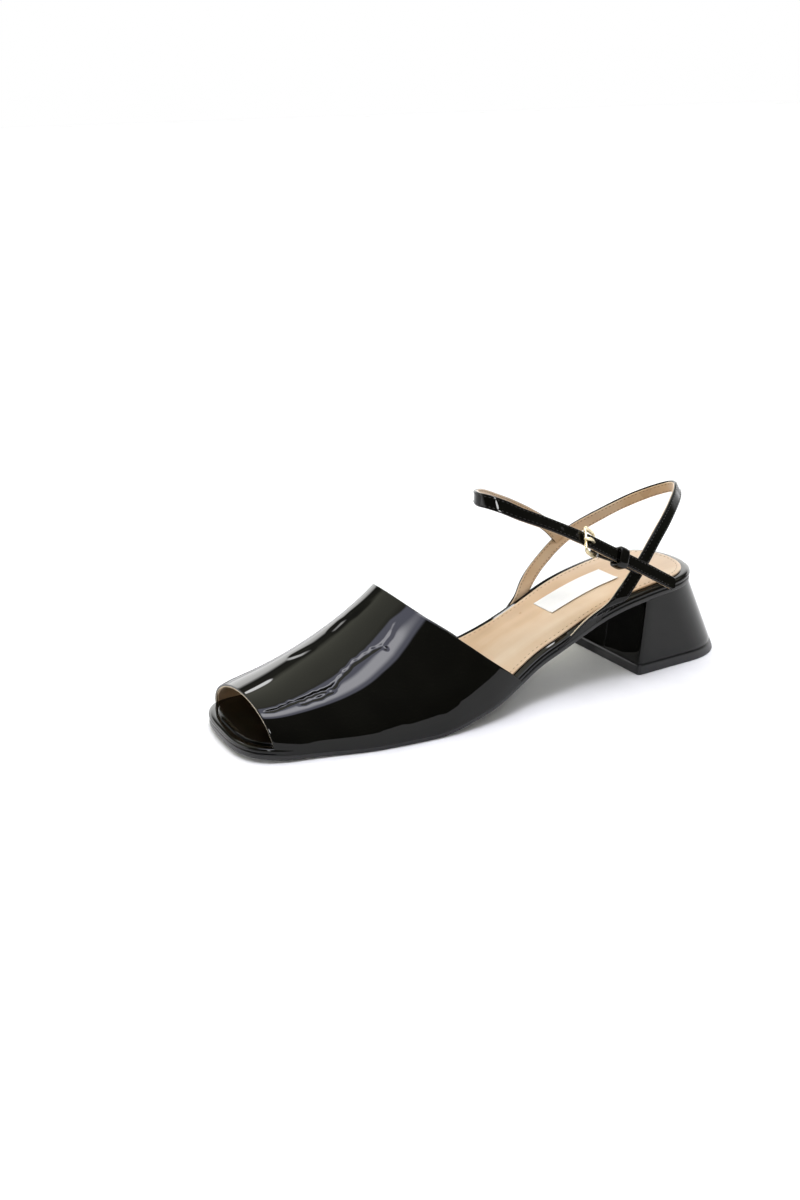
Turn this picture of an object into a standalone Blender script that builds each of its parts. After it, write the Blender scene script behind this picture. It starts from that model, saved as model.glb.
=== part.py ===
"""Slingback sandal, left shoe: open-toe vamp, buckled sling and instep strap, block heel.

Frame of the shoe: X across with the outer side of the foot at +X, Y from toe (-Y) to heel (+Y),
Z up. The origin is the middle of the heel's flat bottom, on the floor. All lengths are metres.
"""
import math
from collections import namedtuple

import bmesh
import bpy
import numpy as np
from mathutils import Matrix, Vector

MM = 0.001
GAP = 0.3 * MM

# Sole seen from above
SOLE_LENGTH = 238.0 * MM
HEEL_SEAT_WIDTH = 51.4 * MM
WAIST_WIDTH = 47.9 * MM
BALL_WIDTH = 72.4 * MM
TOE_WIDTH = 58.3 * MM
SEAT_ROUND = 27.0 * MM
TOE_ROUND = 26.0 * MM
SEAT_CURVE = 2.2
TOE_CURVE = 3.1
TOE_SLANT = 0.07

# Sole seen from the side
SEAT_HEIGHT = 37.4 * MM
TOE_SPRING = 2.3 * MM
OUTSOLE_THICKNESS = 2.4 * MM
BOARD_THICKNESS = 2.4 * MM
SOCK_THICKNESS = 0.8 * MM
LABEL_THICKNESS = 0.5 * MM

# Sock and its plain label
SOCK_MARGIN = 4.4 * MM
SOCK_SPLIT = 0.80
LABEL_LENGTH = 38.0 * MM
LABEL_WIDTH = 14.5 * MM
LABEL_SHIFT = -1.5 * MM
LABEL_CENTRE = 0.250

# Block heel
HEEL_LENGTH = 60.1 * MM
HEEL_WIDTH = 53.0 * MM
HEEL_TOP_INSET = 0.5 * MM
HEEL_REAR_SPLAY = 16.9 * MM
HEEL_BREAST_SPLAY = 4.8 * MM
HEEL_CORNER = 1.6 * MM
HEEL_EDGE_ROUND = 0.5 * MM
HEEL_CUT_REAR = -0.06
HEEL_CUT_FRONT = 0.26
TOP_PIECE_THICKNESS = 5.0 * MM

# Vamp
VAMP_WALL = 1.6 * MM
VAMP_HEIGHT = 50.2 * MM
TOE_REVEAL = 11.3 * MM
TOE_BOW = 2.1 * MM
TOPLINE_DIP = 45.2 * MM
TOPLINE_OUTER = 0.472
TOPLINE_INNER = 0.460
VAMP_SWELL = 0.7 * MM
VAMP_SIDE_ROOM = 0.8 * MM

# Straps
STRAP_WIDTH = 6.0 * MM
STRAP_THICKNESS = 1.8 * MM
STRAP_SPREAD = 29.5 * MM
SLING_RISE = 36.6 * MM
HUG_RISE = 5.0 * MM
SLING_END_INNER = 0.345
SLING_END_OUTER = 0.330
STRAP_SEAT_FRONT = 0.405
STRAP_SEAT_REAR = 0.255
SEAT_RAMP = 0.012

# Buckle and keeper
WIRE = 1.5 * MM
BUCKLE_LENGTH = 11.0 * MM
BUCKLE_SPARE = 1.6 * MM
BUCKLE_CORNER = 1.6 * MM
PRONG_WIRE = 1.2 * MM
PRONG_TIP = 1.4 * MM
TAB_PLY = 0.7 * MM
TAB_SLOT_PLACE = 3.2 * MM
TAB_REAR = 0.204
BAR_PLACE = 0.300
KEEPER_PLACE = 0.252
KEEPER_LENGTH = 5.0 * MM
KEEPER_WALL = 1.1 * MM

# Spacing of the rows that the surfaces are laid out in
SOLE_PITCH = 9.0 * MM
HEEL_CUT_PITCH = 7.0 * MM
STRAP_PITCH = 3.2 * MM
TRIM_PITCH = 0.25 * MM
TRIM_STEPS = 240
ROW_MERGE = 0.2 * MM
SLOPE_REACH = 0.004
VAMP_COLUMNS = 31
VAMP_ROWS = 22
STRAP_COLUMNS = 4
LABEL_ROWS = 6
END_ROWS = 6
TAB_END_ROWS = 4

PlanRow = namedtuple("PlanRow", "along width outer_share")
PLAN = (
    PlanRow(-0.10, 1.000 * HEEL_SEAT_WIDTH, 0.500),
    PlanRow(0.00, 1.000 * HEEL_SEAT_WIDTH, 0.500),
    PlanRow(0.12, 1.000 * HEEL_SEAT_WIDTH, 0.500),
    PlanRow(0.25, 0.965 * HEEL_SEAT_WIDTH, 0.508),
    PlanRow(0.40, 1.000 * WAIST_WIDTH, 0.568),
    PlanRow(0.55, 0.878 * BALL_WIDTH, 0.511),
    PlanRow(0.66, 0.987 * BALL_WIDTH, 0.453),
    PlanRow(0.76, 1.000 * BALL_WIDTH, 0.402),
    PlanRow(0.90, 0.887 * BALL_WIDTH, 0.302),
    PlanRow(1.00, 1.000 * TOE_WIDTH, 0.242),
)

SideRow = namedtuple("SideRow", "along seat_share toe_share")
SIDE = (
    SideRow(-0.10, 1.045, 0.0),
    SideRow(0.00, 1.030, 0.0),
    SideRow(0.10, 1.000, 0.0),
    SideRow(0.20, 0.920, 0.0),
    SideRow(0.38, 0.577, 0.0),
    SideRow(0.56, 0.134, 0.0),
    SideRow(0.68, 0.000, 0.0),
    SideRow(0.78, 0.000, 0.0),
    SideRow(0.88, 0.000, 0.3),
    SideRow(1.00, 0.000, 1.0),
)
FLAT_REAR = 0.68
FLAT_FRONT = 0.78

VampRow = namedtuple("VampRow", "back height_share lean_share fullness")
VAMP = (
    VampRow(0.00, 0.382, 0.052, 2.04),
    VampRow(0.25, 0.477, -0.011, 2.08),
    VampRow(0.50, 0.612, -0.074, 2.12),
    VampRow(0.75, 0.786, -0.137, 2.15),
    VampRow(1.00, 1.000, -0.200, 2.19),
)

# along: share of the sole's length from its rear; across: share of STRAP_SPREAD, outer side
# positive; rise: share of SLING_RISE above the insole board; lean: degrees, top edge inward
StrapRow = namedtuple("StrapRow", "along across rise lean")
SLING = (
    StrapRow(0.312, -0.800, 0.060, -20),
    StrapRow(0.284, -0.870, 0.149, -42),
    StrapRow(0.250, -0.932, 0.239, -42),
    StrapRow(0.212, -0.966, 0.345, -36),
    StrapRow(0.167, -0.966, 0.440, -12),
    StrapRow(0.110, -0.898, 0.547, 6),
    StrapRow(0.062, -0.746, 0.679, 18),
    StrapRow(0.029, -0.441, 0.834, 26),
    StrapRow(0.012, -0.169, 0.934, 30),
    StrapRow(0.014, 0.034, 0.978, 30),
    StrapRow(0.029, 0.203, 0.972, 28),
    StrapRow(0.053, 0.373, 0.926, 26),
    StrapRow(0.106, 0.661, 0.800, 25),
    StrapRow(0.148, 0.831, 0.672, 23),
    StrapRow(0.182, 0.932, 0.524, 23),
    StrapRow(0.212, 0.983, 0.360, 24),
    StrapRow(0.237, 0.990, 0.215, 22),
    StrapRow(0.262, 0.955, 0.070, 14),
)
INSTEP = (
    StrapRow(0.206, -0.962, 0.390, 4),
    StrapRow(0.238, -0.949, 0.640, 8),
    StrapRow(0.290, -0.881, 0.965, 10),
    StrapRow(0.354, -0.712, 1.337, 8),
    StrapRow(0.407, -0.508, 1.628, 4),
    StrapRow(0.457, -0.271, 1.918, 0),
    StrapRow(0.491, -0.034, 2.091, 0),
    StrapRow(0.502, 0.169, 2.136, 6),
    StrapRow(0.493, 0.356, 2.100, 18),
    StrapRow(0.474, 0.508, 1.993, 30),
    StrapRow(0.451, 0.627, 1.847, 40),
    StrapRow(0.397, 0.790, 1.540, 46),
    StrapRow(0.337, 0.915, 1.205, 40),
    StrapRow(0.274, 1.000, 0.830, 30),
    StrapRow(0.204, 1.060, 0.455, 26),
    StrapRow(0.125, 1.095, 0.070, 26),
)

REAR_Y = HEEL_LENGTH / 2 - HEEL_REAR_SPLAY
BOARD_BASE = OUTSOLE_THICKNESS + GAP
BOARD_TOP = BOARD_BASE + BOARD_THICKNESS
SOCK_TOP = BOARD_TOP + GAP + SOCK_THICKNESS
LABEL_TOP = SOCK_TOP + GAP + LABEL_THICKNESS
PLY_PITCH = STRAP_THICKNESS + GAP
TIP_WIDTHS = (0.30, 0.48, 0.64, 0.77, 0.87, 0.94, 0.98)


def clear_scene():
    for item in list(bpy.data.objects):
        bpy.data.objects.remove(item, do_unlink=True)


def collection(name):
    group = bpy.data.collections.new(name)
    bpy.context.scene.collection.children.link(group)
    return group


def smooth(stops, values, place):
    """Monotone cubic curve through the stops, with straight ends."""
    step = np.diff(stops)
    slope = np.diff(values) / step
    tangent = np.zeros(len(stops))
    for k in range(1, len(stops) - 1):
        if slope[k - 1] * slope[k] > 0:
            late = 2 * step[k] + step[k - 1]
            early = step[k] + 2 * step[k - 1]
            tangent[k] = (late + early) / (late / slope[k - 1] + early / slope[k])
    tangent[0] = slope[0]
    tangent[-1] = slope[-1]
    k = int(np.clip(np.searchsorted(stops, place) - 1, 0, len(stops) - 2))
    u = (place - stops[k]) / step[k]
    if u < 0:
        return values[0] + tangent[0] * (place - stops[0])
    if u > 1:
        return values[-1] + tangent[-1] * (place - stops[-1])
    return float((1 + 2 * u) * (1 - u) ** 2 * values[k] + u * (1 - u) ** 2 * step[k] * tangent[k]
                 + u * u * (3 - 2 * u) * values[k + 1] - u * u * (1 - u) * step[k] * tangent[k + 1])


def column(rows, name):
    return [getattr(row, name) for row in rows]


def table(rows, name, place):
    return smooth(column(rows, rows[0]._fields[0]), column(rows, name), place)


def along_at(y):
    return (REAR_Y - y) / SOLE_LENGTH


def y_at(along):
    return REAR_Y - along * SOLE_LENGTH


def underside(along):
    """Height of the outsole's underside above the floor."""
    seat = table(SIDE, "seat_share", along) * SEAT_HEIGHT
    return seat + table(SIDE, "toe_share", along) * TOE_SPRING


def deck(along, height):
    """Height above the floor of a layer that lies this far above the underside."""
    rise = underside(along + SLOPE_REACH) - underside(along - SLOPE_REACH)
    slope = rise / (2 * SLOPE_REACH * SOLE_LENGTH)
    return underside(along) + height * math.sqrt(1 + slope * slope)


def end_width(distance, radius, curve):
    """Share of the full width that is left at this distance from a rounded end."""
    if distance >= radius:
        return 1.0
    inner = 1.0 - max(distance, 0.0) / radius
    return max(TIP_WIDTHS[0], (1.0 - inner ** curve) ** (1.0 / curve))


def plan_mid_half(along):
    width = table(PLAN, "width", along)
    outer = table(PLAN, "outer_share", along)
    return (outer - 0.5) * width, width / 2


def plan_edge(along, side, inset):
    """X of the sole's edge, drawn in by inset: side is 1 for the outer edge, -1 for the inner."""
    mid, half = plan_mid_half(along)
    rear = end_width(along * SOLE_LENGTH - inset, SEAT_ROUND - inset, SEAT_CURVE)
    front = end_width((1 - along) * SOLE_LENGTH - inset, TOE_ROUND - inset, TOE_CURVE)
    return mid + side * (half - inset) * rear * front


def toe_slant(along, x):
    """The toe's front is cut a little askew: its outer corner lies further forward."""
    mid, _ = plan_mid_half(along)
    share = min(max((along - 0.8) / 0.2, 0.0), 1.0)
    return -TOE_SLANT * share * (x - mid)


def ramp(along, start, stop):
    """One between start and stop, falling to zero over a short ramp outside them."""
    if start <= along <= stop:
        return 1.0
    outside = start - along if along < start else along - stop
    return max(0.0, 1.0 - outside / SEAT_RAMP)


def board_inset(along, side):
    """The board is drawn in where the vamp and the sling come down beside it."""
    topline = TOPLINE_OUTER if side > 0 else TOPLINE_INNER
    toe_edge = 1.0 - (TOE_REVEAL - TOE_BOW) / SOLE_LENGTH
    vamp = (VAMP_WALL + VAMP_SIDE_ROOM) * ramp(along, topline - SEAT_RAMP / 2, toe_edge)
    strap = PLY_PITCH * ramp(along, STRAP_SEAT_REAR, STRAP_SEAT_FRONT)
    return max(vamp, strap)


def tip_stops(radius, curve):
    """Distances from a rounded end at which its outline needs a row."""
    rows = [radius * (1 - (1 - width ** curve) ** (1 / curve)) for width in TIP_WIDTHS]
    rows[0] = 0.0
    return rows + [radius]


def rear_stops(inset):
    return [(inset + d) / SOLE_LENGTH for d in tip_stops(SEAT_ROUND - inset, SEAT_CURVE)]


def toe_stops(inset):
    return [1 - (inset + d) / SOLE_LENGTH for d in tip_stops(TOE_ROUND - inset, TOE_CURVE)]


def even_stops(start, stop, pitch):
    count = max(2, int(math.ceil(abs(stop - start) * SOLE_LENGTH / pitch)))
    return list(np.linspace(start, stop, count + 1))


def sorted_stops(stops):
    """Stops in order from toe to heel, with near doubles taken out."""
    kept = []
    for stop in sorted(stops, reverse=True):
        if not kept or kept[-1] - stop > ROW_MERGE / SOLE_LENGTH:
            kept.append(stop)
    return kept


def middle_stops(start, stop):
    landmarks = [start, FLAT_REAR, FLAT_FRONT, stop]
    inside = sorted(place for place in landmarks if start <= place <= stop)
    stops = []
    for low, high in zip(inside[:-1], inside[1:]):
        if (low, high) == (FLAT_REAR, FLAT_FRONT):
            stops += [low, (low + high) / 2, high]
        else:
            stops += even_stops(low, high, SOLE_PITCH)
    return stops


def grid_object(name, group, columns, rows, place, material):
    """A grid primitive whose points are set by place(column, row)."""
    mesh = bpy.data.meshes.new(name)
    work = bmesh.new()
    bmesh.ops.create_grid(work, x_segments=columns - 1, y_segments=rows - 1, size=1.0)
    for vertex in work.verts:
        i = round((vertex.co.x + 1) / 2 * (columns - 1))
        j = round((vertex.co.y + 1) / 2 * (rows - 1))
        vertex.co = place(i, j)
    work.to_mesh(mesh)
    work.free()
    return mesh_object(name, group, mesh, material)


def mesh_object(name, group, mesh, material):
    item = bpy.data.objects.new(name, mesh)
    group.objects.link(item)
    if material is not None:
        mesh.materials.append(material)
    return item


def solidify(item, thickness, offset):
    change = item.modifiers.new("wall", "SOLIDIFY")
    change.thickness = thickness
    change.offset = offset
    change.use_even_offset = True
    change.use_quality_normals = True


def soften(item, width, segments=2, angle=40.0):
    change = item.modifiers.new("soft edges", "BEVEL")
    change.width = width
    change.segments = segments
    change.limit_method = "ANGLE"
    change.angle_limit = math.radians(angle)


def boolean(item, other, operation):
    change = item.modifiers.new(operation.lower(), "BOOLEAN")
    change.operation = operation
    change.solver = "EXACT"
    change.object = other


def hide_tool(item):
    item.hide_render = True
    item.display_type = "WIRE"


def smooth_shade(item, angle=35.0):
    item.data.shade_smooth()
    item.data.set_sharp_from_angle(angle=math.radians(angle))


def finish(name, colour, roughness, metallic=0.0):
    material = bpy.data.materials.new(name)
    material.use_nodes = True
    shader = material.node_tree.nodes["Principled BSDF"]
    shader.inputs["Base Color"].default_value = (*colour, 1.0)
    shader.inputs["Roughness"].default_value = roughness
    shader.inputs["Metallic"].default_value = metallic
    return material


def plate(name, group, stops, inset_at, top, thickness, edge, material):
    """A layer of the sole: ladder rows between its two edges, given its thickness downward."""
    def place(i, j):
        along = stops[j]
        side = 1 if i else -1
        x = plan_edge(along, side, inset_at(along, side))
        y = y_at(along) + toe_slant(along, x)
        return x, y, deck(along_at(y), top)

    item = grid_object(name, group, 2, len(stops), place, material)
    solidify(item, thickness, -1.0)
    soften(item, edge)
    smooth_shade(item)
    return item


def heel_outline(z):
    """D-shaped outline of the heel at this height, flat at the breast and round at the rear."""
    rise = z / SEAT_HEIGHT
    half = HEEL_WIDTH / 2 + (HEEL_SEAT_WIDTH / 2 - HEEL_TOP_INSET - HEEL_WIDTH / 2) * rise
    rear = HEEL_LENGTH / 2 - (HEEL_REAR_SPLAY + HEEL_TOP_INSET) * rise
    breast = -HEEL_LENGTH / 2 + HEEL_BREAST_SPLAY * rise
    points = []
    for k in range(4):
        turn = math.radians(30 * k)
        points.append((half - HEEL_CORNER * (1 - math.sin(turn)),
                       breast + HEEL_CORNER * (1 - math.cos(turn))))
    round_from = rear - SEAT_ROUND
    for k in range(13):
        turn = math.radians(90 * k / 12)
        points.append((half * math.cos(turn) ** (2 / SEAT_CURVE),
                       round_from + SEAT_ROUND * math.sin(turn) ** (2 / SEAT_CURVE)))
    left = [(-x, y) for x, y in reversed(points[:-1])]
    return [(x, y, z) for x, y in points + left]


def heel_slice(name, group, low, high, material):
    """A slice of the tapered heel: a cylinder whose two rims are set to the heel's outline."""
    mesh = bpy.data.meshes.new(name)
    work = bmesh.new()
    outlines = (heel_outline(low), heel_outline(high))
    bmesh.ops.create_cone(work, cap_ends=True, segments=len(outlines[0]), radius1=1.0,
                          radius2=1.0, depth=1.0)
    rims = ([v for v in work.verts if v.co.z < 0], [v for v in work.verts if v.co.z > 0])
    for rim, outline in zip(rims, outlines):
        rim.sort(key=lambda vertex: math.atan2(vertex.co.y, vertex.co.x))
        for vertex, point in zip(rim, outline):
            vertex.co = point
    bmesh.ops.recalc_face_normals(work, faces=work.faces[:])
    work.to_mesh(mesh)
    work.free()
    return mesh_object(name, group, mesh, material)


def vamp_point(back, turn):
    """Outer face of the vamp: back runs 0 to 1 from toe to topline, turn 0 to pi over the foot."""
    rise = max(math.sin(turn), 0.0)
    across = math.cos(turn)
    front_y = y_at(1.0) + TOE_REVEAL - TOE_BOW * rise
    inner_share = (1 - across) / 2
    foot = TOPLINE_OUTER + (TOPLINE_INNER - TOPLINE_OUTER) * inner_share
    back_y = y_at(foot) - TOPLINE_DIP * rise
    y = front_y + (back_y - front_y) * back
    along = along_at(y)
    mid, half = plan_mid_half(along)
    half *= end_width((1 - along) * SOLE_LENGTH, TOE_ROUND, TOE_CURVE)
    power = 2 / table(VAMP, "fullness", back)
    half += VAMP_SWELL * math.sin(2 * min(turn, math.pi - turn))
    x = mid + half * math.copysign(abs(across) ** power, across)
    x += table(VAMP, "lean_share", back) * BALL_WIDTH * rise * rise
    height = table(VAMP, "height_share", back) * VAMP_HEIGHT
    return x, y, deck(along, BOARD_BASE) + height * rise ** power


def make_vamp(group, material):
    def place(i, j):
        return vamp_point(j / (VAMP_ROWS - 1), math.pi * (1 - i / (VAMP_COLUMNS - 1)))

    item = grid_object("vamp", group, VAMP_COLUMNS, VAMP_ROWS, place, material)
    solidify(item, VAMP_WALL, -1.0)
    soften(item, VAMP_WALL * 0.25, 1, 50.0)
    smooth_shade(item)
    return item


def spline(points, pitch):
    """Cubic curve through the points, read at an even pitch; each item may hold extra values."""
    data = np.array(points, float)
    chord = np.linalg.norm(np.diff(data[:, :3], axis=0), axis=1)
    knots = np.concatenate([[0.0], np.cumsum(chord)])
    tangent = np.zeros_like(data)
    tangent[1:-1] = (data[2:] - data[:-2]) / (knots[2:] - knots[:-2])[:, None]
    tangent[0] = (data[1] - data[0]) / chord[0]
    tangent[-1] = (data[-1] - data[-2]) / chord[-1]
    count = int(round(knots[-1] / pitch))
    out = []
    for s in np.linspace(0.0, knots[-1], count + 1):
        k = int(np.clip(np.searchsorted(knots, s) - 1, 0, len(chord) - 1))
        h = chord[k]
        u = (s - knots[k]) / h
        out.append((1 + 2 * u) * (1 - u) ** 2 * data[k] + u * (1 - u) ** 2 * h * tangent[k]
                   + u * u * (3 - 2 * u) * data[k + 1] - u * u * (1 - u) * h * tangent[k + 1])
    return np.array(out)


def strap_place(row):
    x = row.across * STRAP_SPREAD
    return x, y_at(row.along), deck(row.along, BOARD_TOP) + row.rise * SLING_RISE, row.lean


def sling_end(along, side):
    """Where the strap goes in beside the board: its middle line, on top of the outsole."""
    x = plan_edge(along, side, STRAP_THICKNESS / 2)
    return x, y_at(along), deck(along, BOARD_BASE), 0.0


def frames(route, turn):
    """Tangent, outward normal and width direction at each point of a strap's middle line."""
    tangents = np.gradient(route[:, :3], axis=0)
    tangents /= np.linalg.norm(tangents, axis=1)[:, None]
    out = []
    for (_, _, _, lean), tangent in zip(route, tangents):
        normal = np.array([-tangent[1], tangent[0], 0.0]) * turn
        normal /= np.linalg.norm(normal)
        upright = np.cross(normal, tangent)
        upright *= math.copysign(1.0, upright[2])
        angle = math.radians(lean)
        width = upright * math.cos(angle) - normal * math.sin(angle)
        out.append((tangent, normal * math.cos(angle) + upright * math.sin(angle), width))
    return out


def hug(point):
    """Low on the sole the strap turns to lie flat against the board's edge."""
    x, y, z = point
    along = along_at(y)
    share = (deck(along, BOARD_TOP) + HUG_RISE - z) / HUG_RISE
    share = min(max(share, 0.0), 1.0)
    share = share * share * (3 - 2 * share)
    flat = plan_edge(along, math.copysign(1.0, x), STRAP_THICKNESS / 2)
    return Vector((x + (flat - x) * share, y, z))


def trim_to_sole(point, tangent):
    """Slide a point of the strap's end along the strap until it meets the outsole."""
    place = np.array(point, float)
    for _ in range(TRIM_STEPS):
        if place[2] <= deck(along_at(place[1]), BOARD_BASE):
            break
        place = place + tangent * TRIM_PITCH
    for _ in range(TRIM_STEPS):
        if place[2] >= deck(along_at(place[1]), BOARD_BASE):
            break
        place = place - tangent * TRIM_PITCH
    return place


def ribbon(name, group, route, turn, material, width=STRAP_WIDTH, ends=False):
    """A strap along its middle line, with both skins and soft edges."""
    columns = STRAP_COLUMNS
    around = frames(route, turn)
    rows = len(route)
    grid = np.zeros((columns, rows, 3))
    for j, (tangent, _, across) in enumerate(around):
        for i in range(columns):
            grid[i, j] = route[j, :3] + across * width * (i / (columns - 1) - 0.5)
    if ends:
        for j, outward in ((0, -1.0), (rows - 1, 1.0)):
            for i in range(columns):
                grid[i, j] = trim_to_sole(grid[i, j], around[j][0] * outward)
        grid = respread(grid)
        for i in range(columns):
            for j in range(rows):
                grid[i, j] = hug(grid[i, j])
    item = grid_object(name, group, columns, rows, lambda i, j: grid[i, j], material)
    solidify(item, STRAP_THICKNESS, 0.0)
    soften(item, STRAP_THICKNESS * 0.22, 1, 50.0)
    smooth_shade(item)
    return item


def respread(grid):
    """Even out the rows next to the slanted ends, so that none fold over."""
    for i in range(grid.shape[0]):
        for first, step in ((0, 1), (grid.shape[1] - 1, -1)):
            start = grid[i, first].copy()
            stop = grid[i, first + step * END_ROWS].copy()
            for k in range(1, END_ROWS):
                share = k / END_ROWS
                straight = start + (stop - start) * share
                keep = grid[i, first + step * k]
                grid[i, first + step * k] = straight * (1 - share) + keep * share
    return grid


def nearest(route, along):
    """Index of the point of the outer branch that lies at this share of the sole's length."""
    outer = [(abs(along_at(p[1]) - along), k) for k, p in enumerate(route) if p[0] > 0]
    return min(outer)[1]


class StrapFrame:
    """Axes at a place on the instep strap: along towards the toe, across, and outward."""

    def __init__(self, route, around, along):
        index = nearest(route, along)
        tangent, normal, width = around[index]
        self.origin = Vector(route[index, :3])
        self.forward = -Vector(tangent)
        self.out = Vector(normal)
        self.across = self.out.cross(self.forward)

    def point(self, forward, across, out):
        return self.origin + self.forward * forward + self.across * across + self.out * out

    def matrix(self):
        turn = Matrix((self.forward, self.across, self.out)).transposed()
        return Matrix.Translation(self.origin) @ turn.to_4x4()


def cord_object(name, group, points, radius, cyclic, material):
    """A bent wire: a poly curve with a round bevel, turned into a mesh with welded caps."""
    curve = bpy.data.curves.new(name, "CURVE")
    curve.dimensions = "3D"
    curve.bevel_depth = radius
    curve.bevel_resolution = 3
    curve.use_fill_caps = not cyclic
    line = curve.splines.new("POLY")
    line.points.add(len(points) - 1)
    for spot, place in zip(line.points, points):
        spot.co = (*place, 1.0)
    line.use_cyclic_u = cyclic
    guide = bpy.data.objects.new(name + "_path", curve)
    group.objects.link(guide)
    bpy.context.view_layer.update()
    shaped = guide.evaluated_get(bpy.context.evaluated_depsgraph_get())
    mesh = bpy.data.meshes.new_from_object(shaped)
    work = bmesh.new()
    work.from_mesh(mesh)
    bmesh.ops.remove_doubles(work, verts=work.verts[:], dist=0.00001)
    bmesh.ops.recalc_face_normals(work, faces=work.faces[:])
    work.to_mesh(mesh)
    work.free()
    bpy.data.objects.remove(guide)
    mesh.name = name
    mesh.materials.clear()
    item = mesh_object(name, group, mesh, material)
    smooth_shade(item)
    return item


def rounded_rectangle(length, breadth, corner):
    """Closed outline in two directions, centred on the middle of the first."""
    points = []
    for sx, sy, start in ((1, 1, 0), (-1, 1, 90), (-1, -1, 180), (1, -1, 270)):
        for k in range(5):
            turn = math.radians(start + 22.5 * k)
            points.append((sx * (length / 2 - corner) + corner * math.cos(turn),
                           sy * (breadth / 2 - corner) + corner * math.sin(turn)))
    return points


def buckle_layout():
    """Places of the buckle's bars, outward from the strap's middle line."""
    loop = WIRE / 2 + GAP + TAB_PLY
    rear_out = -(STRAP_THICKNESS / 2 + GAP + loop)
    front_out = STRAP_THICKNESS / 2 + GAP + WIRE / 2
    return loop, rear_out, front_out


def make_buckle(group, frame, material):
    _, rear_out, front_out = buckle_layout()
    tilt = (front_out - rear_out) / (BUCKLE_LENGTH - WIRE)
    breadth = STRAP_WIDTH + 2 * BUCKLE_SPARE + WIRE
    points = []
    for forward, across in rounded_rectangle(BUCKLE_LENGTH - WIRE, breadth, BUCKLE_CORNER):
        place = forward + (BUCKLE_LENGTH - WIRE) / 2
        points.append(frame.point(place, across, rear_out + tilt * place))
    return cord_object("buckle_frame", group, points, WIRE / 2, True, material)


def prong_path(frame):
    """The prong hooks round the rear bar, comes up through the strap and rests on the front bar."""
    _, rear_out, front_out = buckle_layout()
    reach = BUCKLE_LENGTH - WIRE
    hook = WIRE / 2 + GAP + PRONG_WIRE / 2
    points = []
    for k in range(9):
        turn = math.radians(-60 - 27.5 * k)
        points.append(frame.point(hook * math.cos(turn), 0, rear_out + hook * math.sin(turn)))
    rest_out = front_out + WIRE / 2 + GAP + PRONG_WIRE / 2
    points.append(frame.point(hook * 1.1, 0, rear_out + hook * 1.35))
    points.append(frame.point(reach * 0.55, 0, rest_out * 0.55))
    points.append(frame.point(reach * 0.80, 0, rest_out * 0.93))
    points.append(frame.point(reach, 0, rest_out))
    points.append(frame.point(reach + PRONG_TIP, 0, rest_out))
    return points


def box_object(name, group, frame, size, centre, material):
    """A box in the strap's axes."""
    mesh = bpy.data.meshes.new(name)
    work = bmesh.new()
    bmesh.ops.create_cube(work, size=1.0)
    for vertex in work.verts:
        vertex.co = [vertex.co[k] * size[k] + centre[k] for k in range(3)]
    work.to_mesh(mesh)
    work.free()
    mesh.transform(frame.matrix())
    return mesh_object(name, group, mesh, material)


def make_keeper(group, tools, frame, material):
    """A leather loop round the strap and the tab that lies under it."""
    middle = -PLY_PITCH / 2
    inside = (KEEPER_LENGTH * 1.5, STRAP_WIDTH + 3 * GAP, STRAP_THICKNESS + PLY_PITCH + 3 * GAP)
    outside = (KEEPER_LENGTH, inside[1] + 2 * KEEPER_WALL, inside[2] + 2 * KEEPER_WALL)
    item = box_object("keeper_loop", group, frame, outside, (0, 0, middle), material)
    soften(item, KEEPER_WALL * 0.7, 2)
    hole = box_object("keeper_hole", tools, frame, inside, (0, 0, middle), None)
    hide_tool(hole)
    boolean(item, hole, "DIFFERENCE")
    return item


def make_tab(tools, route, around, frame, material):
    """The buckle's tab lies under the strap, from the sling forward, and loops the rear bar."""
    loop, rear_out, _ = buckle_layout()
    first = nearest(route, BAR_PLACE)
    last = nearest(route, TAB_REAR)
    points = []
    for k in range(first, last + 1):
        offset = -PLY_PITCH
        if k - first < TAB_END_ROWS:
            offset = rear_out + (offset - rear_out) * (k - first) / TAB_END_ROWS
        place = route[k, :3] + np.array(around[k][1]) * offset
        points.append((*place, route[k, 3]))
    start = np.array(points[0][:3]) - np.array(frame.forward) * (loop - STRAP_THICKNESS * 0.4)
    points[0] = (*start, points[0][3])
    tab = ribbon("buckle_tab", tools, np.array(points), -1, material)
    hide_tool(tab)
    roll = cylinder_object("tab_roll", tools, frame, loop, STRAP_WIDTH, rear_out, material)
    bore = cylinder_object("tab_bore", tools, frame, WIRE / 2 + GAP, STRAP_WIDTH * 2, rear_out, None)
    slot_size = (BUCKLE_LENGTH, PRONG_WIRE + 3 * GAP, 4 * loop)
    slot_place = (TAB_SLOT_PLACE, 0, rear_out)
    slot = box_object("tab_slot", tools, frame, slot_size, slot_place, None)
    return tab, roll, bore, slot


def cylinder_object(name, group, frame, radius, length, out, material):
    """A cylinder that lies across the strap on the buckle's rear bar."""
    mesh = bpy.data.meshes.new(name)
    work = bmesh.new()
    bmesh.ops.create_cone(work, cap_ends=True, segments=20, radius1=radius, radius2=radius,
                          depth=length)
    work.to_mesh(mesh)
    work.free()
    lay = Matrix.Rotation(math.radians(90), 4, "X")
    mesh.transform(frame.matrix() @ Matrix.Translation((0, 0, out)) @ lay)
    item = mesh_object(name, group, mesh, material)
    hide_tool(item)
    return item


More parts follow.
